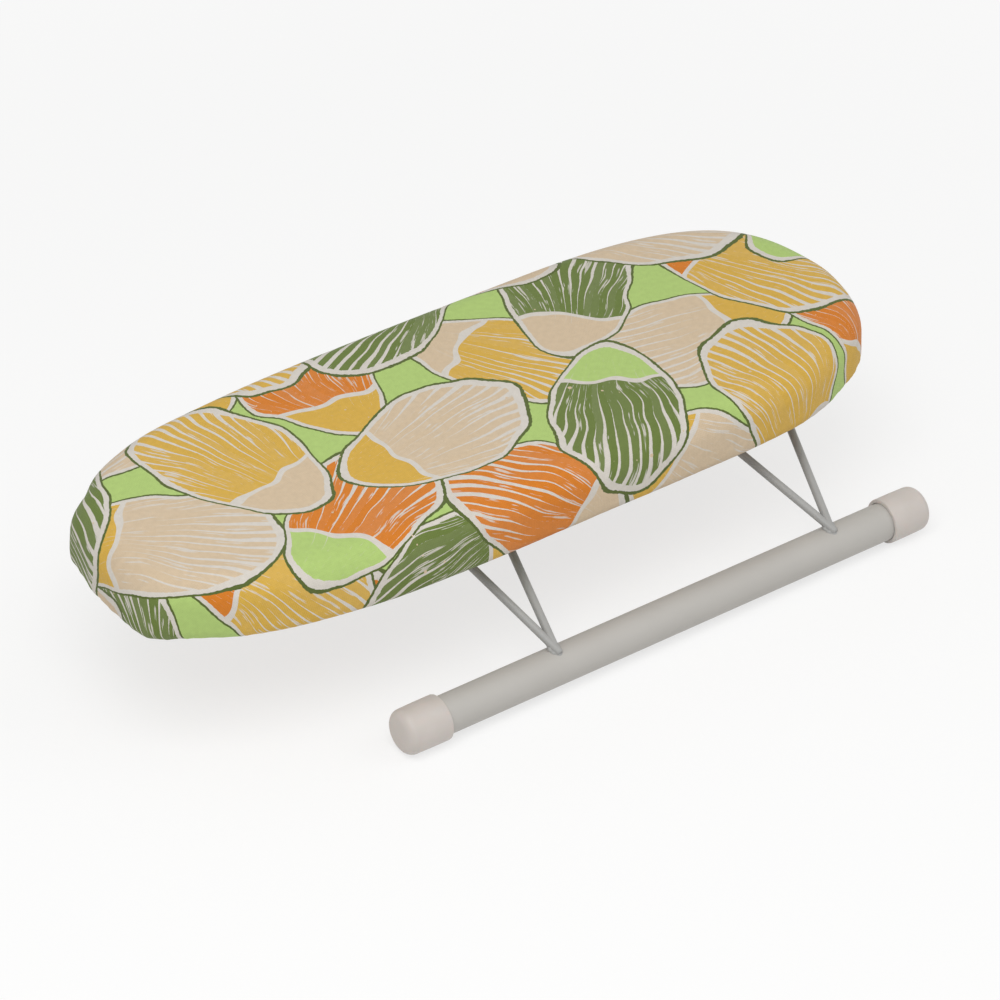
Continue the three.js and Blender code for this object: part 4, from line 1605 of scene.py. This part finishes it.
@dataclass
class FoldingLeg:
    """One leg: a foot tube with two end caps, and a narrow and a wide brace of bent wire up to its hinge.

    A nose is a list of distances from the end of a wire and the share of its radius there. The lip is
    a list of distances from the open end of a cap and of how far the wall is drawn in there.
    """

    row: Row
    narrow_x: float
    wide_x: float
    tube_radius: float = 10 * MM
    tube_wall: float = 1 * MM
    tube_facets: int = 96
    tube_end_gap: float = 0.3 * MM
    foot_length: float = 328 * MM
    foot_x: float = 42 * MM
    foot_y: float = 106 * MM
    foot_z: float = 12.042 * MM
    cap_radius: float = 12.03 * MM
    cap_length: float = 24.5 * MM
    cap_end: float = 2.5 * MM
    cap_fillet: float = 4.8 * MM
    cap_facets: int = 72
    cap_dish: float = 0.05 * MM
    dish_share: float = 0.6
    cap_draft: float = 0.15 * MM
    full_from: float = 0.6
    cap_play: float = 0.25 * MM
    cap_lip: tuple[tuple[float, float], ...] = (
        (0.7 * MM, 0.0),
        (0.25 * MM, 0.12 * MM),
        (0.0, 0.5 * MM),
    )
    wire_radius: float = 2.15 * MM
    wire_facets: int = 28
    wire_bend: float = 2.6 * MM
    bend_steps: int = 10
    wire_seat: float = 1.3 * MM
    wire_tails: tuple[float, float] = (4 * MM, 0.6 * MM)
    wire_nose: tuple[tuple[float, float], ...] = (
        (1.8 * MM, 1.0),
        (0.9 * MM, 0.94),
        (0.3 * MM, 0.8),
        (0.0, 0.55),
    )
    pin_nose: tuple[tuple[float, float], ...] = (
        (0.0, 0.72),
        (0.15 * MM, 0.93),
        (0.5 * MM, 1.0),
    )
    weld_half: tuple[float, float, float] = (3.6 * MM, 5.4 * MM, 1.9 * MM)
    weld_place: tuple[float, float, float] = (0.25 * MM, 0.3 * MM, -1.15 * MM)
    weld_ripple: float = 0.14 * MM
    weld_ripple_length: float = 0.5 * MM
    weld_lump: float = 0.35 * MM
    weld_lump_size: float = 1.9 * MM
    hinge_y: float = 8 * MM
    hinge_z: float = 65.8 * MM
    lug_x: float = 25.8 * MM
    half_lug: float = 2.35 * MM
    narrow_half: float = 22.3 * MM
    wide_half: float = 30.89 * MM

    @property
    def body(self) -> str:
        """Names the body that carries this leg."""
        return f"{self.row.name.lower()}_leg"

    @property
    def run(self) -> float:
        """Gives how far out from its hinge a brace meets the tube."""
        return self.foot_y - self.hinge_y

    @property
    def fall(self) -> float:
        """Gives how far below its hinge a brace meets the tube."""
        return self.hinge_z - (self.foot_z + self.tube_radius + self.wire_seat)

    def piece_name(self, what: str) -> str:
        """Names one of this leg's pieces."""
        return f"{self.row.name.lower()}_{what}"

    def build_tube(self, finish: bpy.types.Material) -> bpy.types.Object:
        """Builds the foot tube along X.

        Args:
            finish: The powder coat.

        Returns:
            The tube.
        """
        bm = bmesh.new()
        where = Matrix.Translation((self.foot_x, self.row.value * self.foot_y, self.foot_z))
        bmesh.ops.create_cone(
            bm,
            cap_ends=False,
            segments=self.tube_facets,
            radius1=self.tube_radius,
            radius2=self.tube_radius,
            depth=self.foot_length - 2 * (self.cap_end + self.tube_end_gap),
            matrix=where @ Matrix.Rotation(QUARTER, 4, "Y"),
        )
        bmesh.ops.recalc_face_normals(bm, faces=bm.faces)
        for edge in bm.edges:
            edge.smooth = not edge.is_boundary  # sharp ends, so that the rim doesn't tilt the wall's shading
        tube = finish_piece(self.piece_name("tube"), bm, finish, self.body)
        add_wall(tube, "tube wall", self.tube_wall)
        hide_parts(self.piece_name("foot_tube"))
        return tube

    def cap_profile(self) -> list[tuple[float, float]]:
        """Lists a cap's profile from the middle of its closed end, round its lip, to the end of its bore.

        Returns:
            Distance from the closed end, and radius, of each point.
        """
        outer, bore, fillet = self.cap_radius, self.tube_radius + self.cap_play, self.cap_fillet
        corner = arc((self.cap_draft + fillet, outer - fillet - self.cap_draft), fillet, 0.0, QUARTER, 8)
        lip = [(self.cap_length - from_end, outer - drawn_in) for from_end, drawn_in in self.cap_lip]
        return [
            (0.0, 0.0),
            (self.cap_dish, (outer - fillet) * self.dish_share),
            *corner,
            (self.cap_length * self.full_from, outer),
            *lip,
            (self.cap_length, bore),
            (self.cap_end, bore),
            (self.cap_end, 0.0),
        ]

    def build_cap(self, end: End, finish: bpy.types.Material) -> bpy.types.Object:
        """Builds one end cap.

        Args:
            end: Which end of the tube it closes.
            finish: The moulded plastic.

        Returns:
            The cap.
        """
        bm = lathe([(x, 0.0, r) for x, r in self.cap_profile()], Vector((1, 0, 0)), self.cap_facets)
        x = self.foot_x + end.value * self.foot_length / 2
        turn = Matrix.Rotation(0.0 if end is End.LEFT else math.pi, 4, "Z")
        where = Matrix.Translation((x, self.row.value * self.foot_y, self.foot_z)) @ turn
        bmesh.ops.transform(bm, matrix=where, verts=bm.verts)
        cap = finish_piece(self.piece_name(f"end_cap_{end.name.lower()}"), bm, finish, self.body)
        crisp(cap, 55.0)
        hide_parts(self.piece_name(f"cap_{end.name.lower()}"))
        return cap

    def wire_path(self, half_width: float, pin_end: float, side: int, past: float) -> list[Vector]:
        """Lists the centre line of one wire, with the hinge axis on X and the foot towards -Y.

        Args:
            half_width: Half the spread of the pair at the hinge.
            pin_end: How far from the middle the turned pin ends.
            side: Which wire of the pair, -1 or 1.
            past: How far the wire runs on past the point where the pair meets.

        Returns:
            Points from the pin's end to the end of the wire on the tube.
        """
        apex = Vector((0, -math.hypot(self.run, self.fall), 0))
        corner = Vector((side * half_width, 0, 0))
        pin = Vector((side * pin_end, 0, 0))
        tail = apex + (apex - corner).normalized() * past
        inward, outward = (pin - corner).normalized(), (tail - corner).normalized()
        half_angle = inward.angle(outward) / 2
        center = corner + (inward + outward).normalized() * (self.wire_bend / math.sin(half_angle))
        reach = self.wire_bend / math.tan(half_angle)
        arm = corner + inward * reach - center
        axis = arm.cross(corner + outward * reach - center).normalized()
        step = (math.pi - 2 * half_angle) / self.bend_steps
        bend = [center + Matrix.Rotation(step * k, 3, axis) @ arm for k in range(self.bend_steps + 1)]
        nose = [pin + (bend[0] - pin).normalized() * from_tip for from_tip, _ in self.pin_nose]
        return [*nose, *bend, tail]

    def add_weld(self, bm: bmesh.types.BMesh) -> None:
        """Adds the rippled bead that joins a pair of wires on the tube.

        Args:
            bm: The mesh of the pair, with the hinge axis on X and the foot towards -Y.
        """
        weld = Vector(self.weld_place) - Vector((0, math.hypot(self.run, self.fall), 0))
        where = Matrix.Translation(weld) @ Matrix.Diagonal((*self.weld_half, 1.0))
        for vert in bmesh.ops.create_icosphere(bm, subdivisions=4, radius=1.0, matrix=where)["verts"]:
            from_middle = vert.co - weld
            ripple = self.weld_ripple * math.sin(from_middle.y / self.weld_ripple_length)
            lump = self.weld_lump * noise.noise(vert.co / self.weld_lump_size)
            vert.co += from_middle.normalized() * (ripple + lump)

    def build_vee(self, vee: Vee, finish: bpy.types.Material) -> bpy.types.Object:
        """Builds one brace: two wires with turned pins, welded together on the tube.

        Args:
            vee: Which brace.
            finish: The powder coat, darkened with painted shade.

        Returns:
            The brace.
        """
        narrow = vee is Vee.NARROW
        half = self.narrow_half if narrow else self.wide_half
        pin_end = self.lug_x + self.half_lug if narrow else self.lug_x - self.half_lug
        station = self.narrow_x if narrow else self.wide_x
        bm = bmesh.new()
        for side, past in zip((-1, 1), self.wire_tails):
            path = self.wire_path(half, pin_end, side, past)
            tip = path.pop()
            inward = (path[-1] - tip).normalized()
            shares = [share for _, share in self.pin_nose] + [1.0] * (self.bend_steps + 1)
            for from_tip, share in self.wire_nose:
                path.append(tip + inward * from_tip)
                shares.append(share)
            sweep_round(bm, path, [self.wire_radius * share for share in shares], UP, self.wire_facets)
        self.add_weld(bm)
        slope = Matrix.Rotation(math.atan2(self.fall, self.run), 4, "X")
        turn = Matrix.Rotation(0.0 if self.row is Row.FRONT else math.pi, 4, "Z")
        where = Matrix.Translation((station, self.row.value * self.hinge_y, self.hinge_z))
        bmesh.ops.transform(bm, matrix=where @ turn @ slope, verts=bm.verts)
        brace = finish_piece(self.piece_name(f"brace_{vee.value}"), bm, finish, self.body)
        crisp(brace, 60.0)
        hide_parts(self.piece_name(f"wire_{vee.value}"))
        return brace


@dataclass(frozen=True)
class Softbox:
    """A square soft light."""

    name: str
    place: tuple[float, float, float]
    size: float
    power: float

    def build(self, target: tuple[float, float, float]) -> bpy.types.Object:
        """Builds the light.

        Args:
            target: The place that it faces.

        Returns:
            The lamp.
        """
        data = bpy.data.lights.new(self.name, "AREA")
        data.shape = "SQUARE"
        data.size = self.size
        data.energy = self.power
        lamp = bpy.data.objects.new(self.name, data)
        lamp.location = self.place
        lamp.rotation_euler = (Vector(target) - lamp.location).to_track_quat("-Z", "Y").to_euler()
        bpy.context.scene.collection.objects.link(lamp)
        return lamp


@dataclass
class Studio:
    """White floor, soft light and the camera at the photograph's viewing angle."""

    azimuth_deg: float = -36.05
    elevation_deg: float = 35.04
    distance: float = 2365.7 * MM
    look_at: tuple[float, float, float] = (-14.0 * MM, -40.8 * MM, 69.4 * MM)
    lens_mm: float = 171.43
    sensor_mm: float = 36.0
    sight: float = 50.0
    ambient: float = 0.52
    lamps: tuple[Softbox, ...] = (
        Softbox("key", (-0.55, -0.52, 1.4), 1.0, 12.4),
        Softbox("fill", (1.5, -1.3, 1.9), 1.6, 9.5),
    )
    lamp_target: tuple[float, float, float] = (0.0, 0.0, 60 * MM)
    floor_half: float = 6.0
    floor_drop: float = 0.2 * MM

    def build_camera(self) -> bpy.types.Object:
        """Builds the camera and makes it the scene's own.

        Returns:
            The camera.
        """
        data = bpy.data.cameras.new("camera")
        data.sensor_width = self.sensor_mm
        data.lens = self.lens_mm
        data.clip_end = self.sight
        camera = bpy.data.objects.new("camera", data)
        turn, lift = math.radians(self.azimuth_deg), math.radians(self.elevation_deg)
        back = Vector((math.sin(turn) * math.cos(lift), -math.cos(turn) * math.cos(lift), math.sin(lift)))
        camera.location = Vector(self.look_at) + back * self.distance
        camera.rotation_euler = (-back).to_track_quat("-Z", "Y").to_euler()
        bpy.context.scene.collection.objects.link(camera)
        bpy.context.scene.camera = camera
        return camera

    def build_light(self) -> None:
        """Builds the lamps and an even white surround."""
        for lamp in self.lamps:
            lamp.build(self.lamp_target)
        world = bpy.data.worlds.new("white surround")
        world.use_nodes = True
        tree = world.node_tree
        tree.nodes.clear()
        lit = add_node(tree, "ShaderNodeBackground", {"Color": WHITE, "Strength": self.ambient})
        shown = add_node(tree, "ShaderNodeBackground", {"Color": WHITE, "Strength": 1.0})
        mixed = add_node(
            tree, "ShaderNodeMixShader", {0: add_seen(tree), 1: lit.outputs[0], 2: shown.outputs[0]}
        )
        add_node(tree, "ShaderNodeOutputWorld", {"Surface": mixed.outputs[0]})
        bpy.context.scene.world = world

    def build_floor(self) -> bpy.types.Object:
        """Builds the floor, a little below the feet.

        Returns:
            The floor.
        """
        bm = bmesh.new()
        bmesh.ops.create_grid(bm, x_segments=4, y_segments=4, size=self.floor_half)
        mesh = bpy.data.meshes.new("floor")
        bm.to_mesh(mesh)
        bm.free()
        mesh.materials.append(StudioFloor().material())
        floor = bpy.data.objects.new("floor", mesh)
        floor.location.z = -self.floor_drop
        bpy.context.scene.collection.objects.link(floor)
        return floor


def main() -> None:
    """Builds the studio and every piece of the ironing board."""
    logging.basicConfig(level=logging.INFO, format="%(name)s: %(message)s")
    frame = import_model()
    bpy.context.scene.view_settings.view_transform = "Standard"
    studio = Studio()
    studio.build_camera()
    studio.build_light()
    studio.build_floor()

    coat = PowderCoat().material()
    # The wires get a darker, cooler copy of the tube's coat: painted shade for the shadow under the board
    wire_coat_with_painted_shade = PowderCoat("powder coated wire", "a8a8a6", "9c9c9a", 0.5, 0.9, 12.0).material()
    plastic = MouldedCap().material()
    zinc = ZincPlate().material()
    board = CoveredBoard(BoardOutline())
    board.build_pad(FoamFill().material())
    board.build_cover(PrintedCotton().material())
    # The braid's second colour is painted shade for its grooves
    board.build_elastic(SewnThread("braided elastic", "f1efe8", "d6d2c6", 0.9).material())
    board.build_stitches(SewnThread().material())

    fittings = HingeFittings()
    fittings.build(zinc)
    legs = (
        FoldingLeg(Row.FRONT, fittings.stations[0], fittings.stations[1]),
        FoldingLeg(Row.REAR, fittings.stations[1], fittings.stations[0]),
    )
    for leg in legs:
        leg.build_tube(coat)
        for end in End:
            leg.build_cap(end, plastic)
        for vee in Vee:
            leg.build_vee(vee, wire_coat_with_painted_shade)

    kept = {"board_core": Fibreboard().material()}
    for name in frame["nodes"]:
        if name.startswith("hinge_lug"):
            kept[name] = zinc
    for name, material in kept.items():
        node = frame["nodes"][name]
        node.data.materials.clear()
        node.data.materials.append(material)


if __name__ == "__main__":
    main()
